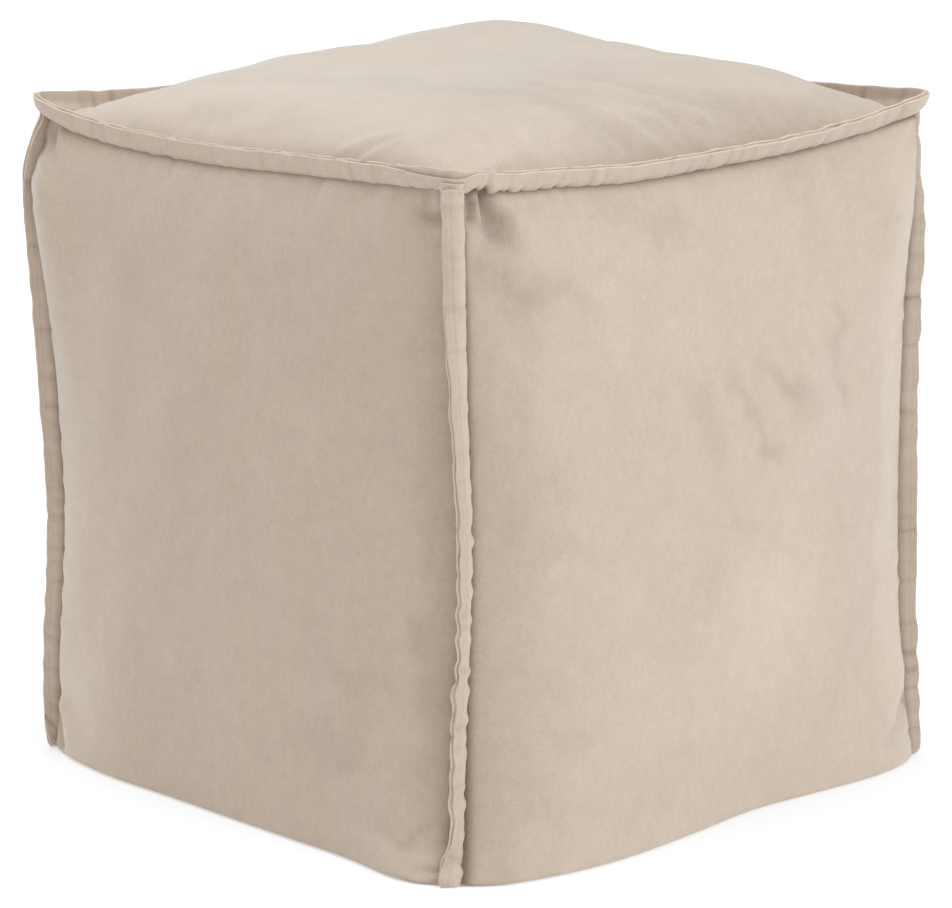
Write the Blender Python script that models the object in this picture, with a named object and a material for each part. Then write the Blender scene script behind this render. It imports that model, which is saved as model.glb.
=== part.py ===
"""Cube pouf stool: one filled cushion of velvet-like cloth, with a stand-up flange round its top and one
down each of its four upright seams.

Run with: blender --background --python part.py
Metres. +X right, -Y front, +Z up. The origin is the middle of the base, on the floor.
Folds, swells and seams are set in the short tables below, one named row each.
"""

from collections import namedtuple
from math import cos, exp, hypot, radians, sin, sqrt

import bmesh
import bpy
from mathutils import Vector

# --- Driving dimensions -------------------------------------------------------------------------
HALF_WIDTH = 0.218  # middle of the pouf to an upright seam, along X and along Y
BASE_ROUND = 0.004  # radius of the bend between the base and the sides
RIM_DRAW_IN = 0.004  # how far the middle of each top seam is pulled towards the centre
DRAW_IN_POWER = 6  # keeps that pull close to the top seam
CROWN_RISE = 0.0590  # height of the top panel's crown over the top seam
CROWN_SQUARENESS = 5.0  # power that keeps the crown full out to its seams
CROWN_SHARPNESS = 0.78  # power under 1 that makes the crown leave its seams steeply
CROWN_FALL = 0.086  # share by which the crown is lower towards the middles of its seams
CROWN_TWIST = 0.129  # share by which it is lower still towards the front left and back right corners
FACE_ARC = radians(76.5)  # half the arc that a swollen face follows from seam to seam
SHOULDER_POWER = 0.6  # under 1 makes the sides swell out close below the top seam
FOLD_FADE = 0.7  # share of its depth that a fold has lost at its far end
LUMP_ONSET = 3.0  # how soon past a seam a lump is whole: 1 over the share of the face's arc
FOLD_ONSET = 5.0  # the same for a fold in a side
TOP_FOLD_ONSET = 4.0  # the same for a fold in the top panel
GRID = 24  # squares along each edge of the cushion's mesh

FLANGE_THICKNESS = 0.004  # two plies with their turnings
FLANGE_EDGE = 0.0012  # bevel along the flange's long edges
EDGE_ANGLE = radians(50)  # an edge sharper than this gets the bevel
WELD = 1e-6  # points closer than this to a plane lie on it
FLANGE_STEPS = 4  # squares across a flange
FLANGE_BEND = 0.6  # share of its width within which a flange bends over to its lean
SEAM_GAP = 0.0006  # from the seam's ridge to the middle of the flange's root
MITRE_GAP = 0.0003  # between two flanges that meet at a corner
MITRE_SPARE = 0.03  # length past the corner that the mitre cuts off
TOP_ROOT_LEAN = 50.0  # degrees from upright at which a top flange leaves its seam
CORNER_FLANGE_FOOT = 0.003  # lowest point of a corner flange over the floor
CORNER_FLANGE_HEAD = 0.0024  # from the top seam's ridge down to a corner flange's end

CLOTH_COLOUR = (0.62, 0.52, 0.42, 1.0)
FLANGE_COLOUR = (0.60, 0.50, 0.40, 1.0)
CLOTH_ROUGHNESS = 0.85

# --- Tables -------------------------------------------------------------------------------------
# place: -1 to 1 along a side, towards +X on the front and back and towards +Y on the left and right.
# Every length is in metres and every lean in degrees.
SeamRow = namedtuple("SeamRow", "height outward sideways")
RimRow = namedtuple("RimRow", "place height lean width")
SwellRow = namedtuple("SwellRow", "height outward fullness")
LumpRow = namedtuple("LumpRow", "side place height outward reach_along reach_up")
FoldRow = namedtuple("FoldRow", "side place height to_place to_height depth half_width")
FlangeRow = namedtuple("FlangeRow", "height lean width")

# Where each upright seam runs: outward along the corner's diagonal from HALF_WIDTH, and sideways,
# anticlockwise seen from above.
UPRIGHT_SEAMS = {
    "front_left": (
        SeamRow(0.000, 0.0080, 0.0000),
        SeamRow(0.040, 0.0055, 0.0000),
        SeamRow(0.080, 0.0040, 0.0000),
        SeamRow(0.180, -0.0010, 0.0000),
        SeamRow(0.280, 0.0030, 0.0000),
        SeamRow(0.350, 0.0065, 0.0000),
        SeamRow(0.440, 0.0120, 0.0000),
        SeamRow(0.460, 0.0100, 0.0000),
        SeamRow(0.480, 0.0050, 0.0000),
    ),
    "front_right": (
        SeamRow(0.000, 0.0190, 0.0010),
        SeamRow(0.030, 0.0100, 0.0020),
        SeamRow(0.100, 0.0025, 0.0040),
        SeamRow(0.160, 0.0000, 0.0065),
        SeamRow(0.220, -0.0015, 0.0085),
        SeamRow(0.270, -0.0015, 0.0085),
        SeamRow(0.340, -0.0010, 0.0068),
        SeamRow(0.430, 0.0030, 0.0060),
        SeamRow(0.489, 0.0060, 0.0055),
    ),
    "back_right": (
        SeamRow(0.000, 0.0080, 0.0000),
        SeamRow(0.040, 0.0045, 0.0000),
        SeamRow(0.073, 0.0020, 0.0000),
        SeamRow(0.120, -0.0005, 0.0000),
        SeamRow(0.250, -0.0005, 0.0000),
        SeamRow(0.343, 0.0020, 0.0000),
        SeamRow(0.400, 0.0055, 0.0000),
        SeamRow(0.485, 0.0072, 0.0000),
    ),
    "back_left": (
        SeamRow(0.000, 0.0070, 0.0000),
        SeamRow(0.060, 0.0030, 0.0000),
        SeamRow(0.160, -0.0020, -0.0020),
        SeamRow(0.260, -0.0030, -0.0020),
        SeamRow(0.360, 0.0020, 0.0000),
        SeamRow(0.480, 0.0050, 0.0000),
    ),
}

# The top seam's height along each side, how far the flange on it leans outward at its outer edge, and
# the flange's width from its stitched root.
TOP_SEAM = {
    "front": (
        RimRow(-1.00, 0.4815, 15.0, 0.0185),
        RimRow(-0.88, 0.4736, 11.0, 0.0166),
        RimRow(-0.60, 0.4690, 8.0, 0.0162),
        RimRow(-0.15, 0.4700, 6.0, 0.0162),
        RimRow(0.20, 0.4755, 8.0, 0.0162),
        RimRow(0.55, 0.4808, 14.0, 0.0162),
        RimRow(1.00, 0.4890, 18.0, 0.0162),
    ),
    "right": (
        RimRow(-1.00, 0.4890, 18.0, 0.0162),
        RimRow(-0.78, 0.4818, 20.0, 0.0162),
        RimRow(-0.60, 0.4790, 24.0, 0.0162),
        RimRow(-0.29, 0.4727, 26.0, 0.0162),
        RimRow(0.13, 0.4718, 30.0, 0.0162),
        RimRow(0.48, 0.4730, 34.0, 0.0162),
        RimRow(0.84, 0.4790, 28.0, 0.0168),
        RimRow(1.00, 0.4855, 18.0, 0.0185),
    ),
    "back": (
        RimRow(-1.00, 0.4800, 26.0, 0.0170),
        RimRow(-0.60, 0.4745, 14.0, 0.0162),
        RimRow(-0.10, 0.4725, 8.0, 0.0162),
        RimRow(0.40, 0.4775, 6.0, 0.0162),
        RimRow(0.84, 0.4840, 10.0, 0.0166),
        RimRow(1.00, 0.4855, 18.0, 0.0185),
    ),
    "left": (
        RimRow(-1.00, 0.4815, 15.0, 0.0185),
        RimRow(-0.85, 0.4785, 9.0, 0.0166),
        RimRow(-0.50, 0.4730, 4.0, 0.0162),
        RimRow(0.00, 0.4712, 8.0, 0.0162),
        RimRow(0.55, 0.4740, 14.0, 0.0162),
        RimRow(1.00, 0.4800, 26.0, 0.0170),
    ),
}

# How far the middle of each side swells past the line between its two upright seams, and the power that
# shapes the swell: under 1 it stays full right up to the seams.
SIDE_SWELL = {
    "front": (
        SwellRow(0.000, 0.0220, 0.50),
        SwellRow(0.060, 0.0265, 0.62),
        SwellRow(0.220, 0.0300, 0.80),
        SwellRow(0.400, 0.0280, 0.78),
        SwellRow(0.480, 0.0240, 0.90),
    ),
    "right": (
        SwellRow(0.000, 0.0260, 0.42),
        SwellRow(0.060, 0.0290, 0.60),
        SwellRow(0.220, 0.0320, 0.88),
        SwellRow(0.400, 0.0290, 0.85),
        SwellRow(0.480, 0.0240, 0.90),
    ),
    "back": (
        SwellRow(0.000, 0.0230, 0.50),
        SwellRow(0.060, 0.0265, 0.62),
        SwellRow(0.220, 0.0310, 0.84),
        SwellRow(0.400, 0.0280, 0.84),
        SwellRow(0.480, 0.0240, 0.90),
    ),
    "left": (
        SwellRow(0.000, 0.0260, 0.45),
        SwellRow(0.060, 0.0280, 0.60),
        SwellRow(0.220, 0.0320, 0.84),
        SwellRow(0.400, 0.0290, 0.84),
        SwellRow(0.480, 0.0240, 0.90),
    ),
}

# Soft lumps and hollows of the filling: the middle of each, and how far it reaches.
LUMPS = (
    LumpRow("front", 0.86, 0.000, 0.0105, 0.045, 0.060),
    LumpRow("front", -0.62, 0.000, 0.0040, 0.050, 0.060),
    LumpRow("front", -0.30, 0.330, 0.0030, 0.090, 0.080),
    LumpRow("front", -0.92, 0.430, 0.0100, 0.036, 0.048),
    LumpRow("right", -0.55, 0.000, 0.0160, 0.100, 0.090),
    LumpRow("right", 0.22, 0.000, -0.0055, 0.050, 0.060),
    LumpRow("right", 0.78, 0.010, 0.0040, 0.040, 0.060),
    LumpRow("right", 0.35, 0.300, 0.0040, 0.100, 0.090),
    LumpRow("right", -0.30, 0.180, -0.0020, 0.080, 0.080),
    LumpRow("right", 0.93, 0.425, 0.0070, 0.034, 0.050),
    LumpRow("back", -0.50, 0.000, 0.0070, 0.070, 0.070),
    LumpRow("back", 0.30, 0.020, -0.0040, 0.070, 0.060),
    LumpRow("back", 0.40, 0.280, 0.0030, 0.100, 0.090),
    LumpRow("left", 0.45, 0.000, 0.0190, 0.090, 0.080),
    LumpRow("left", -0.40, 0.010, -0.0040, 0.070, 0.060),
    LumpRow("left", -0.30, 0.300, 0.0030, 0.090, 0.090),
)

# The main folds in the sides, each a straight soft trough (depth under 0) or ridge (over 0).
SIDE_FOLDS = (
    FoldRow("right", -0.94, 0.462, -0.72, 0.395, -0.0050, 0.010),
    FoldRow("right", -0.84, 0.466, -0.66, 0.415, 0.0030, 0.010),
    FoldRow("right", 0.92, 0.060, 0.80, 0.015, -0.0040, 0.011),
    FoldRow("front", -0.95, 0.455, -0.86, 0.395, 0.0030, 0.011),
    FoldRow("front", -0.97, 0.040, -0.82, 0.020, -0.0030, 0.011),
    FoldRow("front", 0.96, 0.452, 0.78, 0.446, -0.0025, 0.010),
    FoldRow("front", 0.96, 0.022, 0.76, 0.018, -0.0025, 0.010),
    FoldRow("back", 0.90, 0.450, 0.74, 0.390, -0.0030, 0.011),
    FoldRow("left", -0.92, 0.455, -0.74, 0.400, -0.0030, 0.011),
    FoldRow("left", 0.92, 0.060, 0.80, 0.020, -0.0030, 0.011),
)

# The soft folds of the top panel: place and height stand for X and Y, each from -1 to 1.
TOP_FOLDS = (
    FoldRow("top", 0.74, -0.86, 0.66, -0.40, 0.0028, 0.014),
    FoldRow("top", 0.90, -0.60, 0.40, -0.46, 0.0020, 0.014),
    FoldRow("top", -0.82, -0.70, -0.40, -0.62, -0.0025, 0.014),
    FoldRow("top", -0.55, -0.84, -0.30, -0.50, 0.0025, 0.014),
    FoldRow("top", 0.80, 0.35, 0.45, 0.62, 0.0025, 0.016),
    FoldRow("top", -0.70, 0.80, -0.45, 0.50, -0.0025, 0.014),
)

# How far each corner flange leans at its outer edge, anticlockwise seen from above, and its width.
CORNER_FLANGE = {
    "front_right": (
        FlangeRow(0.003, -80.0, 0.0155),
        FlangeRow(0.013, -76.0, 0.0158),
        FlangeRow(0.020, -55.0, 0.0160),
        FlangeRow(0.026, -38.0, 0.0160),
        FlangeRow(0.045, -24.0, 0.0160),
        FlangeRow(0.060, -29.0, 0.0160),
        FlangeRow(0.107, -33.0, 0.0160),
        FlangeRow(0.138, -32.0, 0.0160),
        FlangeRow(0.157, -22.0, 0.0160),
        FlangeRow(0.200, -28.0, 0.0160),
        FlangeRow(0.248, -32.0, 0.0160),
        FlangeRow(0.285, -38.0, 0.0160),
        FlangeRow(0.340, -50.0, 0.0162),
        FlangeRow(0.366, -58.0, 0.0165),
        FlangeRow(0.417, -82.0, 0.0172),
        FlangeRow(0.489, -84.0, 0.0172),
    ),
    "front_left": (
        FlangeRow(0.003, 30.0, 0.0090),
        FlangeRow(0.020, 16.0, 0.0125),
        FlangeRow(0.060, -20.0, 0.0150),
        FlangeRow(0.150, -22.0, 0.0155),
        FlangeRow(0.260, -14.0, 0.0155),
        FlangeRow(0.360, -8.0, 0.0158),
        FlangeRow(0.420, 8.0, 0.0152),
        FlangeRow(0.442, 24.0, 0.0130),
        FlangeRow(0.460, 34.0, 0.0105),
        FlangeRow(0.480, 48.0, 0.0075),
    ),
    "back_right": (
        FlangeRow(0.003, 48.0, 0.0120),
        FlangeRow(0.040, 44.0, 0.0140),
        FlangeRow(0.073, 36.0, 0.0150),
        FlangeRow(0.120, 30.0, 0.0150),
        FlangeRow(0.170, 20.0, 0.0152),
        FlangeRow(0.268, 36.0, 0.0146),
        FlangeRow(0.343, 38.0, 0.0142),
        FlangeRow(0.400, 44.0, 0.0130),
        FlangeRow(0.450, 56.0, 0.0100),
        FlangeRow(0.485, 66.0, 0.0060),
    ),
    "back_left": (
        FlangeRow(0.003, 34.0, 0.0120),
        FlangeRow(0.080, 6.0, 0.0160),
        FlangeRow(0.200, -12.0, 0.0160),
        FlangeRow(0.320, 10.0, 0.0160),
        FlangeRow(0.480, 36.0, 0.0130),
    ),
}

# --- Corners and sides --------------------------------------------------------------------------
Side = namedtuple("Side", "start end outward")
SIDES = {
    "front": Side("front_left", "front_right", Vector((0.0, -1.0, 0.0))),
    "right": Side("front_right", "back_right", Vector((1.0, 0.0, 0.0))),
    "back": Side("back_left", "back_right", Vector((0.0, 1.0, 0.0))),
    "left": Side("front_left", "back_left", Vector((-1.0, 0.0, 0.0))),
}
CORNERS = {
    "front_left": Vector((-1.0, -1.0, 0.0)),
    "front_right": Vector((1.0, -1.0, 0.0)),
    "back_right": Vector((1.0, 1.0, 0.0)),
    "back_left": Vector((-1.0, 1.0, 0.0)),
}
UP = Vector((0.0, 0.0, 1.0))


def along(rows, where, column):
    """Smooth value of a column at a place between a table's rows, kept in order of their first column."""
    places = [row[0] for row in rows]
    values = [getattr(row, column) for row in rows]
    where = min(max(where, places[0]), places[-1])
    index = 0
    while index < len(rows) - 2 and where > places[index + 1]:
        index += 1

    def slope(row):
        low = max(row - 1, 0)
        high = min(row + 1, len(rows) - 1)
        return (values[high] - values[low]) / (places[high] - places[low])

    run = places[index + 1] - places[index]
    part = (where - places[index]) / run
    start = values[index] * (1 + 2 * part) * (1 - part) ** 2
    end = values[index + 1] * part**2 * (3 - 2 * part)
    leave = slope(index) * run * part * (1 - part) ** 2
    arrive = slope(index + 1) * run * part**2 * (part - 1)
    return start + end + leave + arrive


def spread(place):
    """Where a point at an even angle along a swollen face falls between its seams, -1 to 1."""
    return sin(FACE_ARC * place) / sin(FACE_ARC)


def dome(place):
    """Height of a swollen face's arc, 0 at its seams and 1 in its middle."""
    return max(0.0, (cos(FACE_ARC * place) - cos(FACE_ARC)) / (1 - cos(FACE_ARC)))


def ease(value):
    """Smooth step from 0 to 1."""
    value = min(max(value, 0.0), 1.0)
    return value * value * (3 - 2 * value)


def seam_point(corner, height):
    """Point of an upright seam at a height, drawn in over the bend at the base."""
    signs = CORNERS[corner]
    diagonal = signs.normalized()
    sideways = UP.cross(diagonal)
    rows = UPRIGHT_SEAMS[corner]
    point = signs * HALF_WIDTH
    point = point + diagonal * along(rows, height, "outward")
    point = point + sideways * along(rows, height, "sideways")
    if height < BASE_ROUND:
        bend = BASE_ROUND - sqrt(BASE_ROUND**2 - (BASE_ROUND - height) ** 2)
        point = point - signs * bend
    point.z = height
    return point


def corner_top(corner):
    """Height of the top seam at a corner."""
    for name, side in SIDES.items():
        if side.start == corner:
            return TOP_SEAM[name][0].height
        if side.end == corner:
            return TOP_SEAM[name][-1].height
    raise KeyError(corner)


def fold_depth(row, across, up):
    """Depth of one fold at a point, both in metres on the fold's own face."""
    start_across = row.place * HALF_WIDTH
    end_across = row.to_place * HALF_WIDTH
    run_across = end_across - start_across
    run_up = row.to_height - row.height
    length = hypot(run_across, run_up)
    share = ((across - start_across) * run_across + (up - row.height) * run_up) / length**2
    share = min(max(share, 0.0), 1.0)
    off_across = across - start_across - share * run_across
    off_up = up - row.height - share * run_up
    off = hypot(off_across, off_up)
    return row.depth * (1 - FOLD_FADE * share) * exp(-((off / row.half_width) ** 2))


def side_relief(name, across, height, edge):
    """Lumps and folds of a side at a point; edge is 0 on its seams, so that the seams stay in place."""
    relief = 0.0
    for row in LUMPS:
        if row.side == name:
            away = hypot(
                (across - row.place * HALF_WIDTH) / row.reach_along,
                (height - row.height) / row.reach_up,
            )
            relief += row.outward * exp(-(away**2)) * min(1.0, LUMP_ONSET * edge)
    for row in SIDE_FOLDS:
        if row.side == name:
            relief += fold_depth(row, across, height) * min(1.0, FOLD_ONSET * edge)
    return relief


def side_point(name, place, rise):
    """Point of a side, from -1 to 1 along it and from -1 at the base to 1 at the top seam."""
    side = SIDES[name]
    share = (1 + spread(place)) / 2
    height = along(TOP_SEAM[name], spread(place), "height") * (1 + spread(rise)) / 2
    point = seam_point(side.start, height).lerp(seam_point(side.end, height), share)
    shoulder = dome(rise) ** SHOULDER_POWER if rise > 0 else 1.0
    across = spread(place) * HALF_WIDTH
    fullness = along(SIDE_SWELL[name], height, "fullness")
    swell = along(SIDE_SWELL[name], height, "outward") * dome(place) ** fullness * shoulder
    swell += side_relief(name, across, height, dome(place) * shoulder)
    draw_in = RIM_DRAW_IN * dome(place) * ease((1 + rise) / 2) ** DRAW_IN_POWER
    return point + side.outward * (swell - draw_in)


def panel_point(across, deep, rise):
    """Point of the top or base panel, stretched between the four sides' edges."""
    front = side_point("front", across, rise)
    back = side_point("back", across, rise)
    left = side_point("left", deep, rise)
    right = side_point("right", deep, rise)
    x_share = (1 + spread(across)) / 2
    y_share = (1 + spread(deep)) / 2
    corners = side_point("front", -1, rise).lerp(side_point("front", 1, rise), x_share)
    corners = corners.lerp(side_point("back", -1, rise).lerp(side_point("back", 1, rise), x_share), y_share)
    return front.lerp(back, y_share) + left.lerp(right, x_share) - corners


def crown_height(across, deep):
    """Rise of the top panel over its seams."""
    x_part = spread(across)
    y_part = spread(deep)
    fullness = (1 - abs(x_part) ** CROWN_SQUARENESS) * (1 - abs(y_part) ** CROWN_SQUARENESS)
    rise = CROWN_RISE * max(fullness, 0.0) ** CROWN_SHARPNESS
    rise = rise * (1 - CROWN_FALL * (x_part**2 + y_part**2) - CROWN_TWIST * x_part * y_part)
    folds = 0.0
    for row in TOP_FOLDS:
        up_row = row._replace(height=row.height * HALF_WIDTH, to_height=row.to_height * HALF_WIDTH)
        folds += fold_depth(up_row, x_part * HALF_WIDTH, y_part * HALF_WIDTH)
    return rise + folds * min(1.0, TOP_FOLD_ONSET * fullness)


def cushion_point(cube):
    """Where a point of a cube from -1 to 1 goes on the cushion."""
    limit = 1 - WELD
    if abs(cube.y) > limit:
        return side_point("front" if cube.y < 0 else "back", cube.x, cube.z)
    if abs(cube.x) > limit:
        return side_point("left" if cube.x < 0 else "right", cube.y, cube.z)
    point = panel_point(cube.x, cube.y, cube.z)
    if cube.z > 0:
        point.z += crown_height(cube.x, cube.y)
    return point


# --- Meshes -------------------------------------------------------------------------------------
def make_object(name, mesh, material, collection):
    """One named, smooth-shaded object of the pouf."""
    mesh.shade_smooth()
    made = bpy.data.objects.new(name, mesh)
    made.data.materials.append(material)
    collection.objects.link(made)
    return made


def make_cloth(name, colour):
    """Plain cloth material of one sub-part."""
    material = bpy.data.materials.new(name)
    material.use_nodes = True
    shader = material.node_tree.nodes["Principled BSDF"]
    shader.inputs["Base Color"].default_value = colour
    shader.inputs["Roughness"].default_value = CLOTH_ROUGHNESS
    shader.inputs["Metallic"].default_value = 0.0
    return material


def make_cushion(collection):
    """The filled cushion: a subdivided cube drawn onto the swollen sides, the crown and the flat base."""
    shape = bmesh.new()
    bmesh.ops.create_cube(shape, size=2.0)
    bmesh.ops.subdivide_edges(shape, edges=shape.edges[:], cuts=GRID - 1, use_grid_fill=True)
    for vert in shape.verts:
        vert.co = cushion_point(vert.co.copy())
    mesh = bpy.data.meshes.new("cushion_body")
    shape.to_mesh(mesh)
    shape.free()
    make_object("cushion_body", mesh, make_cloth("cushion_cloth", CLOTH_COLOUR), collection)


def strip_mesh(name, rows_of_points, mitres):
    """A flange from its middle surface: thickened, its long edges rounded, its ends cut to the mitres.

    rows_of_points holds one list for each station along the seam, from the root to the outer edge.
    mitres holds a point and a direction for each end plane; what lies past the plane is cut off.
    """
    stations = len(rows_of_points)
    shape = bmesh.new()
    bmesh.ops.create_grid(shape, x_segments=stations - 1, y_segments=FLANGE_STEPS, size=1.0)
    for vert in shape.verts:
        station = round((vert.co.x + 1) / 2 * (stations - 1))
        step = round((vert.co.y + 1) / 2 * FLANGE_STEPS)
        vert.co = rows_of_points[station][step]
    shape.normal_update()
    for vert, normal in [(vert, vert.normal.copy()) for vert in shape.verts]:
        vert.co -= normal * (FLANGE_THICKNESS / 2)
    bmesh.ops.solidify(shape, geom=shape.faces[:], thickness=-FLANGE_THICKNESS)
    bmesh.ops.recalc_face_normals(shape, faces=shape.faces[:])
    sharp = [edge for edge in shape.edges if edge.calc_face_angle(0.0) > EDGE_ANGLE]
    bmesh.ops.bevel(
        shape, geom=sharp, offset=FLANGE_EDGE, segments=1, profile=0.5, affect="EDGES", material=-1
    )
    for place, direction in mitres:
        geometry = shape.verts[:] + shape.edges[:] + shape.faces[:]
        cut = bmesh.ops.bisect_plane(
            shape, geom=geometry, dist=WELD, plane_co=place, plane_no=direction, clear_outer=True
        )
        rim = [part for part in cut["geom_cut"] if isinstance(part, bmesh.types.BMEdge)]
        bmesh.ops.contextual_create(shape, geom=rim)
    bmesh.ops.triangulate(shape, faces=shape.faces[:])
    bmesh.ops.recalc_face_normals(shape, faces=shape.faces[:])
    mesh = bpy.data.meshes.new(name)
    shape.to_mesh(mesh)
    shape.free()
    return mesh


def top_flange_row(root, outward, tip_lean, width):
    """Middle line across a top flange: it leaves the seam outward and bends upright within its width."""
    points = [root + (outward * sin(radians(TOP_ROOT_LEAN)) + UP * cos(radians(TOP_ROOT_LEAN))) * SEAM_GAP]
    for step in range(FLANGE_STEPS):
        share = (step + 0.5) / FLANGE_STEPS
        lean = radians(TOP_ROOT_LEAN + (tip_lean - TOP_ROOT_LEAN) * ease(share / FLANGE_BEND))
        advance = outward * sin(lean) + UP * cos(lean)
        points.append(points[-1] + advance * (width / FLANGE_STEPS))
    return points


def make_top_flange(name, material, collection):
    """The flange that stands on one side's top seam, mitred to its neighbours at both corners."""
    side = SIDES[name]
    places = [2 * index / GRID - 1 for index in range(GRID + 1)]
    rows = []
    for place in places:
        lean = along(TOP_SEAM[name], spread(place), "lean")
        width = along(TOP_SEAM[name], spread(place), "width")
        rows.append(top_flange_row(side_point(name, place, 1), side.outward, lean, width))
    start = side_point(name, -1, 1)
    end = side_point(name, 1, 1)
    run = (end - start).normalized() * MITRE_SPARE
    rows.insert(0, [point - run for point in rows[0]])
    rows.append([point + run for point in rows[-1]])
    mitres = []
    for corner, place in ((side.start, start), (side.end, end)):
        diagonal = CORNERS[corner].normalized()
        cut = UP.cross(diagonal)
        if cut.dot(CORNERS[corner] - side.outward) < 0:
            cut = -cut
        mitres.append((place - cut * MITRE_GAP / 2, cut))
    mesh = strip_mesh("top_flange_" + name, rows, mitres)
    make_object("top_flange_" + name, mesh, material, collection)


def corner_flange_row(root, diagonal, sideways, tip_lean, width):
    """Middle line across a corner flange: straight out of its seam, then bent over to its lean."""
    points = [root + diagonal * SEAM_GAP]
    for step in range(FLANGE_STEPS):
        share = (step + 0.5) / FLANGE_STEPS
        lean = radians(tip_lean * ease(share / FLANGE_BEND))
        advance = diagonal * cos(lean) + sideways * sin(lean)
        points.append(points[-1] + advance * (width / FLANGE_STEPS))
    return points


def make_corner_flange(corner, material, collection):
    """The flange down one upright seam, from just under the top flange to just over the floor."""
    diagonal = CORNERS[corner].normalized()
    sideways = UP.cross(diagonal)
    top = corner_top(corner)
    rows = []
    for index in range(GRID + 1):
        height = top * (1 + spread(2 * index / GRID - 1)) / 2
        height = min(max(height, CORNER_FLANGE_FOOT), top - CORNER_FLANGE_HEAD)
        lean = along(CORNER_FLANGE[corner], height, "lean")
        width = along(CORNER_FLANGE[corner], height, "width")
        rows.append(corner_flange_row(seam_point(corner, height), diagonal, sideways, lean, width))
    mesh = strip_mesh("corner_flange_" + corner, rows, [])
    make_object("corner_flange_" + corner, mesh, material, collection)


def main():
    """Clear the scene and build the pouf."""
    for old in list(bpy.data.objects):
        bpy.data.objects.remove(old, do_unlink=True)
    collection = bpy.data.collections.new("cube_pouf_stool")
    bpy.context.scene.collection.children.link(collection)
    make_cushion(collection)
    for name in SIDES:
        material = make_cloth("top_flange_cloth_" + name, FLANGE_COLOUR)
        make_top_flange(name, material, collection)
    for corner in CORNERS:
        material = make_cloth("corner_flange_cloth_" + corner, FLANGE_COLOUR)
        make_corner_flange(corner, material, collection)


if __name__ == "__main__":
    main()
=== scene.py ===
"""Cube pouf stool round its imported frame: a velvet cushion, its stand-up flanges and their stitching.

Metres. +X right, -Y front, +Z up. The origin is the middle of the base, on the floor.
"""

import logging
from dataclasses import dataclass, field
from enum import Enum
from typing import NamedTuple, Sequence

import bmesh
import bpy
import numpy as np
from mathutils import Matrix, Vector


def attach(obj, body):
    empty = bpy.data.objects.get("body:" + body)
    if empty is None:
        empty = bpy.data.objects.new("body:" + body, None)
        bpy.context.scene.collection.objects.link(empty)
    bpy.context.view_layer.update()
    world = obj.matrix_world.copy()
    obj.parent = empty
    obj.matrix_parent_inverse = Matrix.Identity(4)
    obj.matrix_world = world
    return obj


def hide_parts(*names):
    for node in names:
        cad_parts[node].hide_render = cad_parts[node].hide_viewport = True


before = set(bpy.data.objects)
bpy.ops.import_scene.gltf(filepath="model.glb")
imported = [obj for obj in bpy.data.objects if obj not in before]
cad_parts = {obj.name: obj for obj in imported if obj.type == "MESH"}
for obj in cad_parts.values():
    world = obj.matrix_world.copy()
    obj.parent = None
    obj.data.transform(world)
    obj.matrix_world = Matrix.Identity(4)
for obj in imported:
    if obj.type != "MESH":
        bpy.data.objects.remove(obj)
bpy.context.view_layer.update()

log = logging.getLogger("cube_pouf_stool")
Array = np.ndarray
Colour = tuple[float, float, float, float]
Piece = bpy.types.Object
Socket = bpy.types.NodeSocket
UP = np.array([0.0, 0.0, 1.0])


# --- Sides and corners ---
class Corner(Enum):
    """The four upright seams, each named by the two sides that it joins."""

    FRONT_LEFT = (-1.0, -1.0)
    FRONT_RIGHT = (1.0, -1.0)
    BACK_RIGHT = (1.0, 1.0)
    BACK_LEFT = (-1.0, 1.0)

    @property
    def signs(self) -> Array:
        """Which way the corner lies from the middle, along X and along Y."""
        return np.array([*self.value, 0.0])

    @property
    def diagonal(self) -> Array:
        """Unit direction out of the corner."""
        return self.signs / np.linalg.norm(self.signs)

    @property
    def sideways(self) -> Array:
        """Unit direction across the diagonal, anticlockwise seen from above."""
        return np.cross(UP, self.diagonal)


class Side(Enum):
    """The four upright sides: the corners at their ends, and the way that they face."""

    FRONT = (Corner.FRONT_LEFT, Corner.FRONT_RIGHT, (0.0, -1.0, 0.0))
    RIGHT = (Corner.FRONT_RIGHT, Corner.BACK_RIGHT, (1.0, 0.0, 0.0))
    BACK = (Corner.BACK_LEFT, Corner.BACK_RIGHT, (0.0, 1.0, 0.0))
    LEFT = (Corner.FRONT_LEFT, Corner.BACK_LEFT, (-1.0, 0.0, 0.0))

    def __init__(self, start: Corner, end: Corner, outward: tuple[float, float, float]) -> None:
        """Names the parts of a side's value.

        Args:
            start: The corner at place -1.
            end: The corner at place 1.
            outward: The way that the side faces.
        """
        self.start = start
        self.end = end
        self.outward = np.array(outward)


class Ply(Enum):
    """What a flange's section is made of, from outside in: 1 lies outside and -1 inside."""

    OUTER = 1
    TURNINGS = 0
    INNER = -1


# --- Tables ---
# place: -1 to 1 along a side, towards +X on the front and back and towards +Y on the left and right.
# Every length is in metres and every lean in degrees. A tone under 0 is darker and one over 0 is paler.
# Where a table is read by panel, None stands for the top panel, on which place and height are X and Y,
# each from -1 to 1 from seam to seam.
class SeamRow(NamedTuple):
    """Where an upright seam runs at a height, from the corner of the plain square."""

    height: float
    outward: float
    sideways: float = 0.0


class RimRow(NamedTuple):
    """The top seam's height at a place, and the lean and width of the flange on it."""

    place: float
    height: float
    lean: float
    width: float


class SwellRow(NamedTuple):
    """How far a side's middle swells at a height, and the power that keeps it full near its seams."""

    height: float
    outward: float
    fullness: float


class LumpRow(NamedTuple):
    """A soft lump or hollow of the filling."""

    place: float
    height: float
    outward: float
    reach_along: float
    reach_up: float


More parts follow.
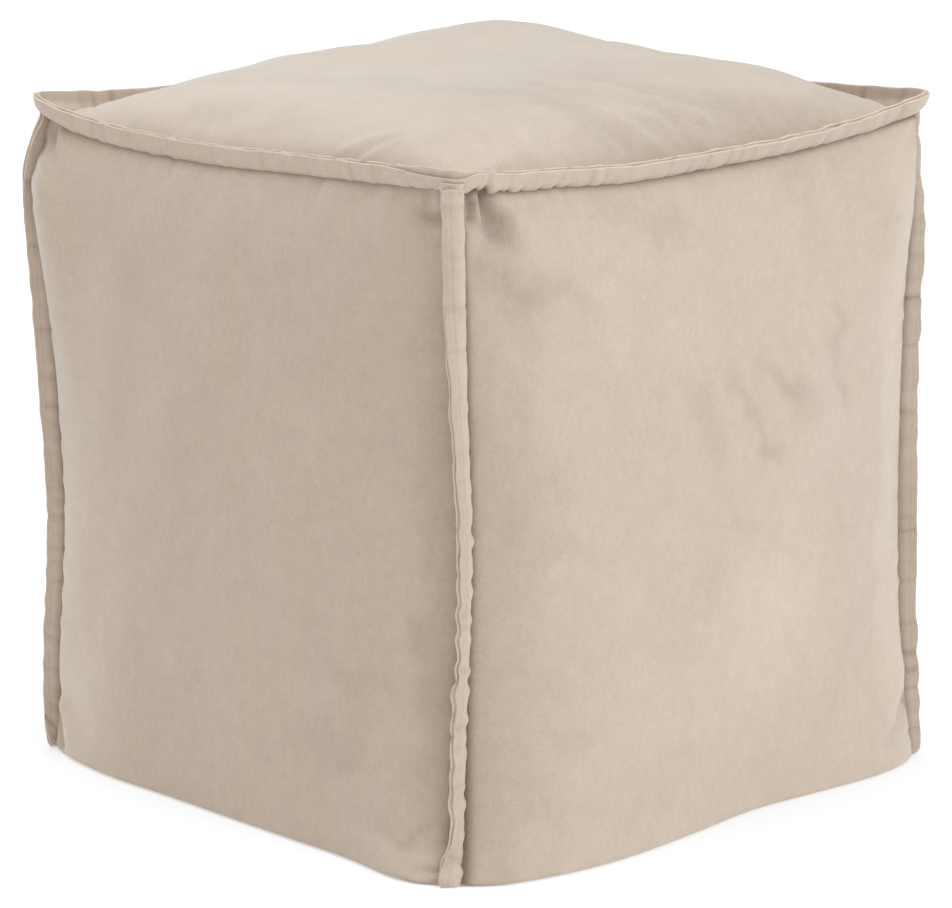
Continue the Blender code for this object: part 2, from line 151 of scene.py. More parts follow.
class FoldRow(NamedTuple):
    """A soft straight fold that fades and widens towards its far end; depth under 0 is a trough."""

    place: float
    height: float
    to_place: float
    to_height: float
    depth: float
    half_width: float
    fade: float
    widen: float


class FlangeRow(NamedTuple):
    """A corner flange's lean, anticlockwise from above, and its width, at a height."""

    height: float
    lean: float
    width: float


class NapAndPaintedLightRow(NamedTuple):
    """A darker or paler patch, turned by so many degrees from level; some are where the pile lies another
    way, others painted shade and painted highlight.
    """

    place: float
    height: float
    length: float
    width: float
    turn: float
    tone: float


class LobeRow(NamedTuple):
    """A ply's folded edge; its middle and radius are shares of the flange's thickness."""

    middle: float
    radius: float
    rise: float
    ripple: float


class DentRow(NamedTuple):
    """A dent that the stitching pulls into a flange's outer ply, in metres past the near corner."""

    past: float
    half_width: float
    depth: float
    reach: float


class PanelRow(NamedTuple):
    """A panel's painted shade as a whole, for the light on its side, and the share of the painted shade at
    its top seam.
    """

    tone: float
    rim: float


class LookRow(NamedTuple):
    """A corner flange's tuck under the top flange, its painted shade, and the painted light near its root:
    shade on most, a highlight on the near one.
    """

    tuck: float
    tone: float
    root_painted_light: float
    root_reach: float


class PileRow(NamedTuple):
    """One layer of the pile's mottling: its bumps in a metre, its finer layers and its weight."""

    scale: float
    detail: float
    weight: float
    upright: bool = False


def table(kind: type, parts: dict) -> dict:
    """A table's rows for each side or corner, each made a named row of its kind."""
    return {key: tuple(kind(*row) for row in rows) for key, rows in parts.items()}


UPRIGHT_SEAMS = table(SeamRow, {
    Corner.FRONT_LEFT: (
        (0.0, 0.008),
        (0.04, 0.0055),
        (0.08, 0.004),
        (0.18, -0.001),
        (0.28, 0.003),
        (0.35, 0.0065),
        (0.44, 0.012),
        (0.46, 0.01),
        (0.48, 0.005),
    ),
    Corner.FRONT_RIGHT: (
        (0.0, 0.019, 0.001),
        (0.03, 0.01, 0.002),
        (0.1, 0.0025, 0.004),
        (0.16, 0.0, 0.0065),
        (0.22, -0.0015, 0.0085),
        (0.27, -0.0015, 0.0085),
        (0.34, -0.001, 0.0068),
        (0.43, 0.003, 0.006),
        (0.489, 0.006, 0.0055),
    ),
    Corner.BACK_RIGHT: (
        (0.0, 0.008),
        (0.04, 0.0045),
        (0.073, 0.002),
        (0.12, -0.0005),
        (0.25, -0.0005),
        (0.343, 0.002),
        (0.4, 0.0055),
        (0.485, 0.0072),
    ),
    Corner.BACK_LEFT: (
        (0.0, 0.007),
        (0.06, 0.003),
        (0.16, -0.002, -0.002),
        (0.26, -0.003, -0.002),
        (0.36, 0.002),
        (0.48, 0.005),
    ),
})

TOP_SEAM = table(RimRow, {
    Side.FRONT: (
        (-1.0, 0.4815, 15.0, 0.0185),
        (-0.88, 0.4736, 11.0, 0.0166),
        (-0.6, 0.469, 8.0, 0.0162),
        (-0.15, 0.47, 6.0, 0.0162),
        (0.2, 0.4755, 8.0, 0.0162),
        (0.55, 0.4808, 14.0, 0.0162),
        (1.0, 0.489, 18.0, 0.0162),
    ),
    Side.RIGHT: (
        (-1.0, 0.489, 18.0, 0.0162),
        (-0.78, 0.4818, 20.0, 0.0162),
        (-0.6, 0.479, 24.0, 0.0162),
        (-0.29, 0.4727, 26.0, 0.0162),
        (0.13, 0.4718, 30.0, 0.0162),
        (0.48, 0.473, 34.0, 0.0162),
        (0.84, 0.479, 28.0, 0.0168),
        (1.0, 0.4855, 18.0, 0.0185),
    ),
    Side.BACK: (
        (-1.0, 0.48, 26.0, 0.017),
        (-0.6, 0.4745, 14.0, 0.0162),
        (-0.1, 0.4725, 8.0, 0.0162),
        (0.4, 0.4775, 6.0, 0.0162),
        (0.84, 0.484, 10.0, 0.0166),
        (1.0, 0.4855, 18.0, 0.0185),
    ),
    Side.LEFT: (
        (-1.0, 0.4815, 15.0, 0.0185),
        (-0.85, 0.4785, 9.0, 0.0166),
        (-0.5, 0.473, 4.0, 0.0162),
        (0.0, 0.4712, 8.0, 0.0162),
        (0.55, 0.474, 14.0, 0.0162),
        (1.0, 0.48, 26.0, 0.017),
    ),
})

SIDE_SWELL = table(SwellRow, {
    Side.FRONT: (
        (0.0, 0.022, 0.5),
        (0.06, 0.0265, 0.62),
        (0.22, 0.03, 0.8),
        (0.4, 0.028, 0.78),
        (0.48, 0.024, 0.9),
    ),
    Side.RIGHT: (
        (0.0, 0.026, 0.42),
        (0.06, 0.029, 0.6),
        (0.22, 0.032, 0.88),
        (0.4, 0.029, 0.85),
        (0.48, 0.024, 0.9),
    ),
    Side.BACK: (
        (0.0, 0.023, 0.5),
        (0.06, 0.0265, 0.62),
        (0.22, 0.031, 0.84),
        (0.4, 0.028, 0.84),
        (0.48, 0.024, 0.9),
    ),
    Side.LEFT: (
        (0.0, 0.026, 0.45),
        (0.06, 0.028, 0.6),
        (0.22, 0.032, 0.84),
        (0.4, 0.029, 0.84),
        (0.48, 0.024, 0.9),
    ),
})

LUMPS = table(LumpRow, {
    Side.FRONT: (
        (0.86, 0.0, 0.0105, 0.045, 0.06),
        (-0.62, 0.0, 0.004, 0.05, 0.06),
        (-0.3, 0.33, 0.003, 0.09, 0.08),
        (-0.92, 0.43, 0.01, 0.036, 0.048),
    ),
    Side.RIGHT: (
        (-0.55, 0.0, 0.016, 0.1, 0.09),
        (0.22, 0.0, -0.0055, 0.05, 0.06),
        (0.78, 0.01, 0.004, 0.04, 0.06),
        (0.35, 0.3, 0.004, 0.1, 0.09),
        (-0.3, 0.18, -0.002, 0.08, 0.08),
        (0.93, 0.425, 0.007, 0.034, 0.05),
    ),
    Side.BACK: (
        (-0.5, 0.0, 0.007, 0.07, 0.07),
        (0.3, 0.02, -0.004, 0.07, 0.06),
        (0.4, 0.28, 0.003, 0.1, 0.09),
    ),
    Side.LEFT: (
        (0.45, 0.0, 0.019, 0.09, 0.08),
        (-0.4, 0.01, -0.004, 0.07, 0.06),
        (-0.3, 0.3, 0.003, 0.09, 0.09),
    ),
})

# Finer than the folds of the frame's own solid.
FOLDS = table(FoldRow, {
    Side.FRONT: (
        (-0.955, 0.432, -0.965, 0.33, 0.0085, 0.018, 0.75, 0.5),
        (-0.95, 0.47, -0.8, 0.425, -0.003, 0.0046, 0.8, 2.2),
        (-0.91, 0.468, -0.72, 0.44, 0.002, 0.005, 0.8, 1.6),
        (-0.985, 0.462, -0.93, 0.41, -0.0022, 0.004, 0.7, 1.5),
        (-0.985, 0.048, -0.94, 0.006, -0.006, 0.004, 0.1, 0.6),
        (-0.93, 0.036, -0.82, 0.01, 0.003, 0.008, 0.5, 0.6),
        (0.975, 0.468, 0.8, 0.466, -0.0075, 0.0032, 0.8, 1.6),
        (0.965, 0.492, 0.955, 0.47, -0.005, 0.0042, 0.2, 0.4),
        (0.915, 0.49, 0.91, 0.472, 0.0012, 0.004, 0.4, 0.6),
        (0.86, 0.49, 0.86, 0.462, -0.0022, 0.004, 0.7, 1.0),
        (0.69, 0.482, 0.68, 0.456, 0.0016, 0.004, 0.7, 0.8),
        (0.44, 0.478, 0.42, 0.452, 0.0012, 0.005, 0.7, 0.8),
        (0.985, 0.03, 0.86, 0.018, -0.0022, 0.004, 0.6, 1.0),
        (0.985, 0.011, 0.88, 0.008, -0.003, 0.0024, 0.5, 0.8),
    ),
    Side.RIGHT: (
        (-0.918, 0.488, -0.872, 0.454, -0.0105, 0.0044, 0.6, 1.2),
        (-0.896, 0.478, -0.83, 0.436, -0.0048, 0.0088, 0.8, 0.9),
        (-0.955, 0.488, -0.928, 0.47, 0.0066, 0.0043, 0.35, 0.2),
        (-0.97, 0.492, -0.968, 0.468, -0.0066, 0.0028, 0.55, 0.5),
        (-0.968, 0.4665, -0.93, 0.467, -0.0036, 0.0026, 0.6, 0.8),
        (0.965, 0.474, 0.965, 0.42, 0.007, 0.015, 0.6, 0.5),
        (-0.84, 0.474, -0.66, 0.418, 0.0026, 0.009, 0.7, 1.2),
        (-0.96, 0.433, -0.7, 0.396, -0.0022, 0.009, 0.6, 0.8),
        (0.97, 0.046, 0.815, 0.018, -0.004, 0.006, 0.3, 0.6),
        (0.95, 0.07, 0.84, 0.04, 0.0022, 0.008, 0.5, 0.5),
        (0.96, 0.472, 0.88, 0.44, -0.0018, 0.006, 0.8, 1.5),
        (0.62, 0.455, 0.56, 0.34, -0.0009, 0.011, 0.7, 0.6),
    ),
    Side.BACK: (
        (0.95, 0.465, 0.76, 0.4, -0.0034, 0.005, 0.75, 2.5),
        (-0.95, 0.462, -0.82, 0.42, -0.0028, 0.0046, 0.75, 2.0),
        (-0.97, 0.045, -0.84, 0.014, -0.0034, 0.0055, 0.4, 0.8),
    ),
    Side.LEFT: (
        (-0.94, 0.462, -0.76, 0.408, -0.0034, 0.005, 0.75, 2.5),
        (0.95, 0.458, 0.8, 0.42, -0.0026, 0.005, 0.75, 2.0),
        (0.97, 0.05, 0.82, 0.016, -0.0036, 0.006, 0.4, 0.8),
    ),
    None: (
        (0.95, -0.84, 0.86, -0.62, 0.0032, 0.0046, 0.55, 1.2),
        (0.92, -0.66, 0.74, -0.4, 0.002, 0.0065, 0.6, 0.8),
        (0.88, 0.16, 0.62, -0.02, 0.003, 0.0052, 0.45, 0.4),
        (0.64, 0.02, 0.42, -0.12, 0.0018, 0.006, 0.6, 0.5),
        (0.86, 0.05, 0.52, -0.14, -0.0022, 0.007, 0.55, 0.4),
        (0.92, -0.12, 0.62, -0.22, 0.0026, 0.0055, 0.55, 0.6),
        (0.94, -0.22, 0.7, -0.3, -0.0016, 0.006, 0.55, 0.6),
        (0.38, -0.95, 0.6, -0.84, 0.0018, 0.0042, 0.5, 0.8),
        (0.5, -0.96, 0.68, -0.82, 0.0016, 0.004, 0.5, 0.8),
        (0.45, -0.97, 0.62, -0.86, -0.0018, 0.0036, 0.5, 0.6),
        (-0.82, -0.7, -0.4, -0.62, -0.0016, 0.011, 0.6, 0.5),
        (-0.3, -0.92, -0.18, -0.6, 0.0014, 0.009, 0.6, 0.8),
        (0.8, 0.5, 0.45, 0.66, 0.0018, 0.011, 0.6, 0.6),
        (-0.7, 0.86, -0.45, 0.55, -0.0018, 0.01, 0.6, 0.8),
        (-0.92, 0.1, -0.6, -0.05, 0.0014, 0.009, 0.6, 0.8),
    ),
})

CORNER_FLANGE = table(FlangeRow, {
    Corner.FRONT_RIGHT: (
        (0.003, -84.0, 0.0185),
        (0.013, -80.0, 0.0165),
        (0.02, -55.0, 0.016),
        (0.026, -38.0, 0.016),
        (0.045, -24.0, 0.016),
        (0.06, -29.0, 0.016),
        (0.107, -33.0, 0.016),
        (0.138, -32.0, 0.016),
        (0.157, -22.0, 0.016),
        (0.2, -28.0, 0.016),
        (0.248, -32.0, 0.016),
        (0.285, -38.0, 0.016),
        (0.34, -50.0, 0.0162),
        (0.366, -58.0, 0.0165),
        (0.417, -82.0, 0.0172),
        (0.489, -84.0, 0.0172),
    ),
    Corner.FRONT_LEFT: (
        (0.003, 30.0, 0.009),
        (0.02, 16.0, 0.0125),
        (0.06, -20.0, 0.015),
        (0.15, -22.0, 0.0155),
        (0.26, -14.0, 0.0155),
        (0.36, -8.0, 0.0158),
        (0.42, 8.0, 0.0152),
        (0.442, 24.0, 0.013),
        (0.46, 34.0, 0.0105),
        (0.48, 48.0, 0.0075),
    ),
    Corner.BACK_RIGHT: (
        (0.003, 48.0, 0.012),
        (0.04, 44.0, 0.014),
        (0.073, 36.0, 0.015),
        (0.12, 30.0, 0.015),
        (0.17, 20.0, 0.0152),
        (0.268, 36.0, 0.0146),
        (0.343, 38.0, 0.0142),
        (0.4, 44.0, 0.013),
        (0.45, 66.0, 0.008),
        (0.485, 74.0, 0.0055),
    ),
    Corner.BACK_LEFT: (
        (0.003, 34.0, 0.012),
        (0.08, 6.0, 0.016),
        (0.2, -12.0, 0.016),
        (0.32, 10.0, 0.016),
        (0.48, 36.0, 0.013),
    ),
})

LOBES = {
    Ply.OUTER: LobeRow(0.29, 0.21, 0.0, 0.00018),
    Ply.TURNINGS: LobeRow(0.0, 0.07, -0.0007, 0.0004),
    Ply.INNER: LobeRow(-0.29, 0.21, 0.0002, 0.00025),
}

# How much further the top flange's free edge stands out at each corner.
EARS = {
    Corner.FRONT_LEFT: 0.0085,
    Corner.FRONT_RIGHT: 0.0015,
    Corner.BACK_RIGHT: 0.0075,
    Corner.BACK_LEFT: 0.006,
}

# How far each corner flange's head reaches up under the top flange, its painted shade, and the painted
# light near its root.
CORNER_LOOKS = {
    Corner.FRONT_LEFT: LookRow(0.0022, -0.45, -3.2, 0.2),
    Corner.FRONT_RIGHT: LookRow(0.0014, -0.3, 1.5, 0.4),
    Corner.BACK_RIGHT: LookRow(0.0022, -1.1, -2.6, 0.2),
    Corner.BACK_LEFT: LookRow(0.001, -0.4, -2.0, 0.15),
}

# The top flange's dents that show close to the near corner.
CORNER_DENTS = (
    DentRow(-0.03, 0.003, 0.0007, 0.35),
    DentRow(0.0125, 0.0038, 0.0022, 0.42),
    DentRow(0.0215, 0.0032, 0.003, 0.5),
    DentRow(0.036, 0.0022, 0.0012, 0.4),
    DentRow(0.043, 0.0018, 0.0016, 0.45),
    DentRow(0.056, 0.0016, 0.0014, 0.5),
    DentRow(0.073, 0.0018, 0.001, 0.45),
    DentRow(0.088, 0.0016, 0.0014, 0.5),
    DentRow(0.099, 0.0014, 0.0008, 0.4),
)

# Darker and paler patches: some are where the pile of the cloth lies another way, others are painted shade
# beside seams and in folds, and painted highlight where the cloth turns away.
NAP_AND_PAINTED_LIGHT_MARKS = table(NapAndPaintedLightRow, {
    Side.FRONT: (
        # Painted shade beside the near corner's flange and in the pinch by its tab.
        (0.98, 0.25, 0.26, 0.03, 90.0, -0.9),
        (0.95, 0.48, 0.016, 0.008, -90.0, -1.2),
        (0.92, 0.469, 0.022, 0.004, 2.0, -1.2),
        # Painted light over the creases by the foot: a painted highlight, then painted shade.
        (0.9, 0.017, 0.05, 0.01, -3.0, 1.0),
        (0.88, 0.034, 0.045, 0.006, -6.0, -0.6),
        (0.93, 0.005, 0.016, 0.002, 0.0, -2.0),
        # Painted highlight low on the left, where the cloth turns away.
        (-0.9, 0.13, 0.16, 0.054, 90.0, 1.0),
        (-0.75, 0.04, 0.07, 0.04, 10.0, 0.45),
        (0.86, 0.482, 0.02, 0.006, -80.0, -0.6),
        (0.62, 0.47, 0.03, 0.008, 40.0, 0.4),
        (0.72, 0.3, 0.03, 0.006, -5.0, -0.45),
        (0.65, 0.13, 0.05, 0.01, -8.0, -0.45),
        (0.86, 0.105, 0.03, 0.01, 12.0, 0.5),
        (0.85, 0.18, 0.026, 0.008, 8.0, 0.4),
        (-0.5, 0.39, 0.05, 0.02, -40.0, -0.35),
        (0.5, 0.08, 0.042, 0.022, 0.0, -0.7),
        (0.93, 0.12, 0.07, 0.016, 90.0, -0.55),
        (0.25, 0.29, 0.07, 0.03, 20.0, 0.22),
    ),
    Side.RIGHT: (
        (-0.27, 0.445, 0.052, 0.018, -18.0, -0.55),
        (-0.15, 0.44, 0.02, 0.016, -30.0, -0.55),
        (-0.45, 0.468, 0.04, 0.012, -20.0, -0.35),
        (-0.105, 0.312, 0.022, 0.014, -50.0, -1.0),
        (-0.042, 0.276, 0.02, 0.009, -70.0, -0.75),
        (0.115, 0.308, 0.036, 0.007, -55.0, -1.1),
        (0.215, 0.268, 0.012, 0.006, -60.0, -1.4),
        (0.255, 0.318, 0.032, 0.009, -50.0, -1.0),
        (0.37, 0.3, 0.026, 0.014, -40.0, -0.8),
        (0.585, 0.33, 0.04, 0.006, -85.0, -1.2),
        (0.6, 0.292, 0.012, 0.005, -60.0, -1.0),
        (-0.03, 0.185, 0.03, 0.008, 75.0, -0.45),
        (0.1, 0.215, 0.03, 0.007, -65.0, -0.4),
        (0.28, 0.196, 0.04, 0.01, -35.0, -0.4),
        (-0.7, 0.412, 0.05, 0.01, -25.0, -0.9),
        (-0.8, 0.392, 0.03, 0.016, -60.0, -0.6),
        (-0.62, 0.226, 0.04, 0.008, -20.0, -0.55),
        (-0.68, 0.09, 0.04, 0.008, 5.0, -0.65),
        (0.47, 0.43, 0.06, 0.014, -75.0, -0.45),
        (0.6, 0.09, 0.06, 0.01, 65.0, -0.45),
        (0.78, 0.2, 0.16, 0.008, 88.0, -0.35),
        (0.1, 0.12, 0.1, 0.05, 10.0, 0.35),
        (-0.2, 0.38, 0.08, 0.04, -20.0, 0.25),
        # Painted shade in the folds right of the near corner, under the pouch and beside the corner flange.
        (-0.9, 0.47, 0.024, 0.007, -60.0, -1.6),
        (-0.886, 0.46, 0.024, 0.01, -62.0, -0.75),
        (-0.912, 0.482, 0.006, 0.003, -10.0, -1.2),
        (-0.955, 0.425, 0.014, 0.009, -30.0, -0.8),
        (-0.97, 0.24, 0.26, 0.05, 90.0, -1.5),
        (-0.82, 0.09, 0.1, 0.05, 60.0, -0.5),
        (-0.45, 0.04, 0.09, 0.03, 8.0, -0.45),
        (-0.78, 0.255, 0.06, 0.03, 70.0, -0.3),
        # Painted highlight along the far edge, where the cloth turns away.
        (0.9, 0.26, 0.25, 0.02, 90.0, 0.85),
        (0.26, 0.17, 0.05, 0.06, 0.0, 0.75),
        # Painted highlight on the pouch by the near corner.
        (-0.95, 0.479, 0.011, 0.005, 90.0, 1.5),
    ),
    Side.BACK: (
        (0.2, 0.3, 0.05, 0.016, -40.0, -0.5),
        (-0.4, 0.22, 0.06, 0.014, 60.0, -0.4),
        (0.45, 0.14, 0.07, 0.02, 15.0, 0.35),
    ),
    Side.LEFT: (
        (-0.25, 0.33, 0.05, 0.014, 50.0, -0.5),
        (0.35, 0.24, 0.06, 0.018, -30.0, -0.4),
        (0.1, 0.12, 0.08, 0.024, 10.0, 0.3),
    ),
    None: (
        (0.62, 0.1, 0.08, 0.014, 35.0, -0.55),
        (0.8, 0.25, 0.05, 0.016, 60.0, -0.6),
        (0.72, -0.32, 0.06, 0.016, 20.0, -0.5),
        (0.45, 0.4, 0.09, 0.012, 40.0, -0.35),
        (-0.25, -0.55, 0.07, 0.012, 15.0, -0.4),
        (0.1, -0.2, 0.11, 0.03, 30.0, 0.3),
        (-0.6, -0.4, 0.16, 0.09, -45.0, 0.45),
        # Painted shade towards the right-hand seams of the top.
        (0.78, 0.45, 0.24, 0.07, 68.0, -0.75),
        (0.8, -0.45, 0.12, 0.06, 80.0, -0.65),
        (0.93, 0.15, 0.15, 0.022, 90.0, -1.2),
        (-0.18, -0.84, 0.075, 0.018, 0.0, -0.8),
    ),
})

# Painted shade for each panel as a whole, darker on the front and left, and the share of the painted seam
# shade at its top seam.
PANEL_LOOKS = {
    Side.FRONT: PanelRow(-0.7, 0.25),
    Side.RIGHT: PanelRow(0.15, 1.0),
    Side.BACK: PanelRow(0.0, 0.8),
    Side.LEFT: PanelRow(-0.45, 0.6),
    None: PanelRow(0.0, 1.0),
}

MOTTLING = (
    PileRow(9.0, 2.0, 0.018),
    PileRow(38.0, 3.0, 0.021),
    PileRow(85.0, 3.0, 0.024),
    PileRow(190.0, 2.0, 0.032, True),
    PileRow(620.0, 1.0, 0.05),
)


# --- Smooth functions ---
def along(rows: Sequence[tuple], where: Array, column: str) -> Array:
    """Smooth values of one column of a table, whose rows are in order of their first column.

    Args:
        rows: The table.
        where: Places to read it at, in the first column's unit; past the ends the end row holds.
        column: Name of the column.

    Returns:
        One value for each place.
    """
    places = np.array([row[0] for row in rows])
    values = np.array([getattr(row, column) for row in rows])
    slopes = np.empty_like(values)
    slopes[1:-1] = (values[2:] - values[:-2]) / (places[2:] - places[:-2])
    slopes[0] = (values[1] - values[0]) / (places[1] - places[0])
    slopes[-1] = (values[-1] - values[-2]) / (places[-1] - places[-2])
    where = np.clip(where, places[0], places[-1])
    index = np.clip(np.searchsorted(places, where) - 1, 0, len(places) - 2)
    run = places[index + 1] - places[index]
    part = (where - places[index]) / run
    start = values[index] * (1 + 2 * part) * (1 - part) ** 2
    end = values[index + 1] * part**2 * (3 - 2 * part)
    leave = slopes[index] * run * part * (1 - part) ** 2
    arrive = slopes[index + 1] * run * part**2 * (part - 1)
    return start + end + leave + arrive


def ease(value: Array) -> Array:
    """Smooth step from 0 to 1."""
    value = np.clip(value, 0.0, 1.0)
    return value * value * (3 - 2 * value)


def ramp(value: Array, start: float, length: float) -> Array:
    """Smooth step from 0 at the start to 1 a length further on."""
    return ease((value - start) / length)


def times(amounts: Array, direction: Array) -> Array:
    """One vector along the direction for each amount."""
    return np.asarray(amounts)[..., None] * direction


def unit(vectors: Array) -> Array:
    """The vectors at length 1."""
    return vectors / np.maximum(np.linalg.norm(vectors, axis=-1, keepdims=True), 1e-12)


@dataclass(frozen=True)
class Ripple:
    """An uneven wave of about -1 to 1 along a line, the same each run.

    Attributes:
        seed: Picks the wave.
        shortest: Its shortest wavelength in metres.
        longest: Its longest wavelength in metres.
        waves: How many sines are summed.
    """

    seed: int
    shortest: float
    longest: float
    waves: int = 7

    def at(self, where: Array) -> Array:
        """Reads the wave.

        Args:
            where: Distances along the line.

        Returns:
            Its height at each.
        """
        rng = np.random.default_rng(self.seed)
        lengths = np.exp(rng.uniform(np.log(self.shortest), np.log(self.longest), self.waves))
        phases = rng.uniform(0, 2 * np.pi, self.waves)
        total = sum(np.sin(2 * np.pi * where / length + phase) for length, phase in zip(lengths, phases))
        return total / np.sqrt(self.waves)


@dataclass(frozen=True)
class Unevenness:
    """Soft bumps and hollows of about -1 to 1 through space, the same each run.

    Attributes:
        seed: Picks the pattern.
        shortest: Its shortest wavelength in metres.
        longest: Its longest wavelength in metres.
        waves: How many plane waves are summed.
    """

    seed: int
    shortest: float
    longest: float
    waves: int = 22

    def at(self, points: Array) -> Array:
        """Reads the pattern.

        Args:
            points: Points in space, one row each.

        Returns:
            Its height at each.
        """
        rng = np.random.default_rng(self.seed)
        lengths = np.exp(rng.uniform(np.log(self.shortest), np.log(self.longest), self.waves))
        ways = unit(rng.normal(size=(self.waves, 3)))
        phases = rng.uniform(0, 2 * np.pi, self.waves)
        total = np.zeros(len(points))
        for length, way, phase in zip(lengths, ways, phases):
            total += np.sin(2 * np.pi * (points @ way) / length + phase)
        return total / np.sqrt(self.waves)


# --- The pouf's form ---
@dataclass(frozen=True)
class PoufForm:
    """The pouf's filled form, which the cushion and its flanges share.

    Attributes:
        half_width: Middle of the pouf to an upright seam, along X and along Y.
        base_round: Radius of the bend between the base and the sides.
        rim_draw_in: How far the middle of each top seam is pulled towards the centre.
        draw_in_power: Keeps that pull close to the top seam.
        crown_rise: Height of the top panel's crown over the top seam.
        crown_squareness: Power that keeps the crown full out to its seams.
        crown_sharpness: Power under 1 that makes the crown leave its seams steeply.
        crown_fall: Share by which the crown is lower towards the middles of its seams.
        crown_twist: Share by which it is lower still at the front left and back right.
        face_arc: Half the arc, in radians, that a swollen face follows from seam to seam.
        shoulder_power: Under 1 makes the sides swell out close below the top seam.
        lump_fade: How steeply a lump grows from a seam, which itself stays in place.
    """

    half_width: float = 0.218
    base_round: float = 0.004
    rim_draw_in: float = 0.004
    draw_in_power: int = 6
    crown_rise: float = 0.0590
    crown_squareness: float = 5.0
    crown_sharpness: float = 0.78
    crown_fall: float = 0.086
    crown_twist: float = 0.129
    face_arc: float = np.radians(76.5)
    shoulder_power: float = 0.6
    lump_fade: float = 3.0

    def spread(self, place: Array) -> Array:
        """Where points at even angles along a swollen face fall between its seams, -1 to 1."""
        return np.sin(self.face_arc * place) / np.sin(self.face_arc)

    def dome(self, place: Array) -> Array:
        """Height of a swollen face's arc, 0 at its seams and 1 in its middle."""
        arc = (np.cos(self.face_arc * place) - np.cos(self.face_arc)) / (1 - np.cos(self.face_arc))
        return np.maximum(arc, 0.0)

    def seam(self, corner: Corner, height: Array) -> Array:
        """Points of an upright seam.

        Args:
            corner: Which seam.
            height: Their heights.

        Returns:
            One point for each height, drawn in over the bend at the base.
        """
        rows = UPRIGHT_SEAMS[corner]
        point = corner.signs * self.half_width + times(along(rows, height, "outward"), corner.diagonal)
        point = point + times(along(rows, height, "sideways"), corner.sideways)
        below = np.clip(self.base_round - height, 0.0, self.base_round)
        bend = self.base_round - np.sqrt(self.base_round**2 - below**2)
        point = point - times(bend, corner.signs)
        point[..., 2] = height
        return point

    def fold(self, row: FoldRow, across: Array, up: Array, scale: float) -> Array:
        """Depth of one fold at points of its panel.

        Args:
            row: The fold.
            across: Metres from the panel's middle line.
            up: Metres over the floor, or on the top panel metres from its middle along Y.
            scale: The length that the row's height of 1 stands for.

        Returns:
            The depth at each point.
        """
        start_across = row.place * self.half_width
        run_across = row.to_place * self.half_width - start_across
        start_up = row.height * scale
        run_up = row.to_height * scale - start_up
        length = np.hypot(run_across, run_up)
        share = ((across - start_across) * run_across + (up - start_up) * run_up) / length**2
        share = np.clip(share, 0.0, 1.0)
        off = np.hypot(across - start_across - share * run_across, up - start_up - share * run_up)
        reach = row.half_width * (1 + row.widen * share)
        return row.depth * (1 - row.fade * share) * np.exp(-((off / reach) ** 2))

    def lumps(self, side: Side, across: Array, height: Array, edge: Array) -> Array:
        """How far the filling's lumps push a side out.

        Args:
            side: Which side.
            across: Metres from its middle line.
            height: Metres over the floor.
            edge: 0 on the side's seams, which stay in place.

        Returns:
            Metres outward at each point.
        """
        total = np.zeros_like(across)
        for row in LUMPS[side]:
            away = np.hypot(
                (across - row.place * self.half_width) / row.reach_along,
                (height - row.height) / row.reach_up,
            )
            total += row.outward * np.exp(-(away**2)) * np.minimum(1.0, self.lump_fade * edge)
        return total

    def height_on(self, side: Side, place: Array, rise: Array) -> Array:
        """Height over the floor of points of a side, from place and rise, each -1 to 1."""
        return along(TOP_SEAM[side], self.spread(place), "height") * (1 + self.spread(rise)) / 2

    def side(self, side: Side, place: Array, rise: Array) -> Array:
        """Points of a side.

        Args:
            side: Which side.
            place: -1 to 1 along it, at even angles.
            rise: -1 at the base to 1 at the top seam, at even angles.

        Returns:
            One point for each pair.
        """
        place, rise = np.broadcast_arrays(np.asarray(place, float), np.asarray(rise, float))
        across = self.spread(place)
        height = self.height_on(side, place, rise)
        start = self.seam(side.start, height)
        point = start + (self.seam(side.end, height) - start) * ((1 + across) / 2)[..., None]
        shoulder = np.where(rise > 0, self.dome(rise) ** self.shoulder_power, 1.0)
        fullness = along(SIDE_SWELL[side], height, "fullness")
        swell = along(SIDE_SWELL[side], height, "outward") * self.dome(place) ** fullness * shoulder
        swell = swell + self.lumps(side, across * self.half_width, height, self.dome(place) * shoulder)
        draw_in = self.rim_draw_in * self.dome(place) * ease((1 + rise) / 2) ** self.draw_in_power
        return point + times(swell - draw_in, side.outward)

    def panel(self, across: Array, deep: Array, rise: Array) -> Array:
        """Points of the top or base panel, stretched between the four sides' edges.

        Args:
            across: -1 to 1 along X, at even angles.
            deep: -1 to 1 along Y, at even angles.
            rise: 1 for the top panel and -1 for the base.

        Returns:
            One point for each pair.
        """
        x_share = ((1 + self.spread(across)) / 2)[..., None]
        y_share = ((1 + self.spread(deep)) / 2)[..., None]
        front, back = self.side(Side.FRONT, across, rise), self.side(Side.BACK, across, rise)
        left, right = self.side(Side.LEFT, deep, rise), self.side(Side.RIGHT, deep, rise)
        end = np.ones_like(across)
        front_left, front_right = self.side(Side.FRONT, -end, rise), self.side(Side.FRONT, end, rise)
        back_left, back_right = self.side(Side.BACK, -end, rise), self.side(Side.BACK, end, rise)
        corners = front_left + (front_right - front_left) * x_share
        corners = corners + (back_left + (back_right - back_left) * x_share - corners) * y_share
        return front + (back - front) * y_share + left + (right - left) * x_share - corners

    def fullness(self, across: Array, deep: Array) -> Array:
        """How full the top panel is.

        Args:
            across: -1 to 1 along X, at even angles.
            deep: -1 to 1 along Y, at even angles.

        Returns:
            0 on its seams to 1 in its middle, for each pair.
        """
        x_part, y_part = self.spread(across), self.spread(deep)
        full = (1 - np.abs(x_part) ** self.crown_squareness) * (1 - np.abs(y_part) ** self.crown_squareness)
        return np.maximum(full, 0.0)

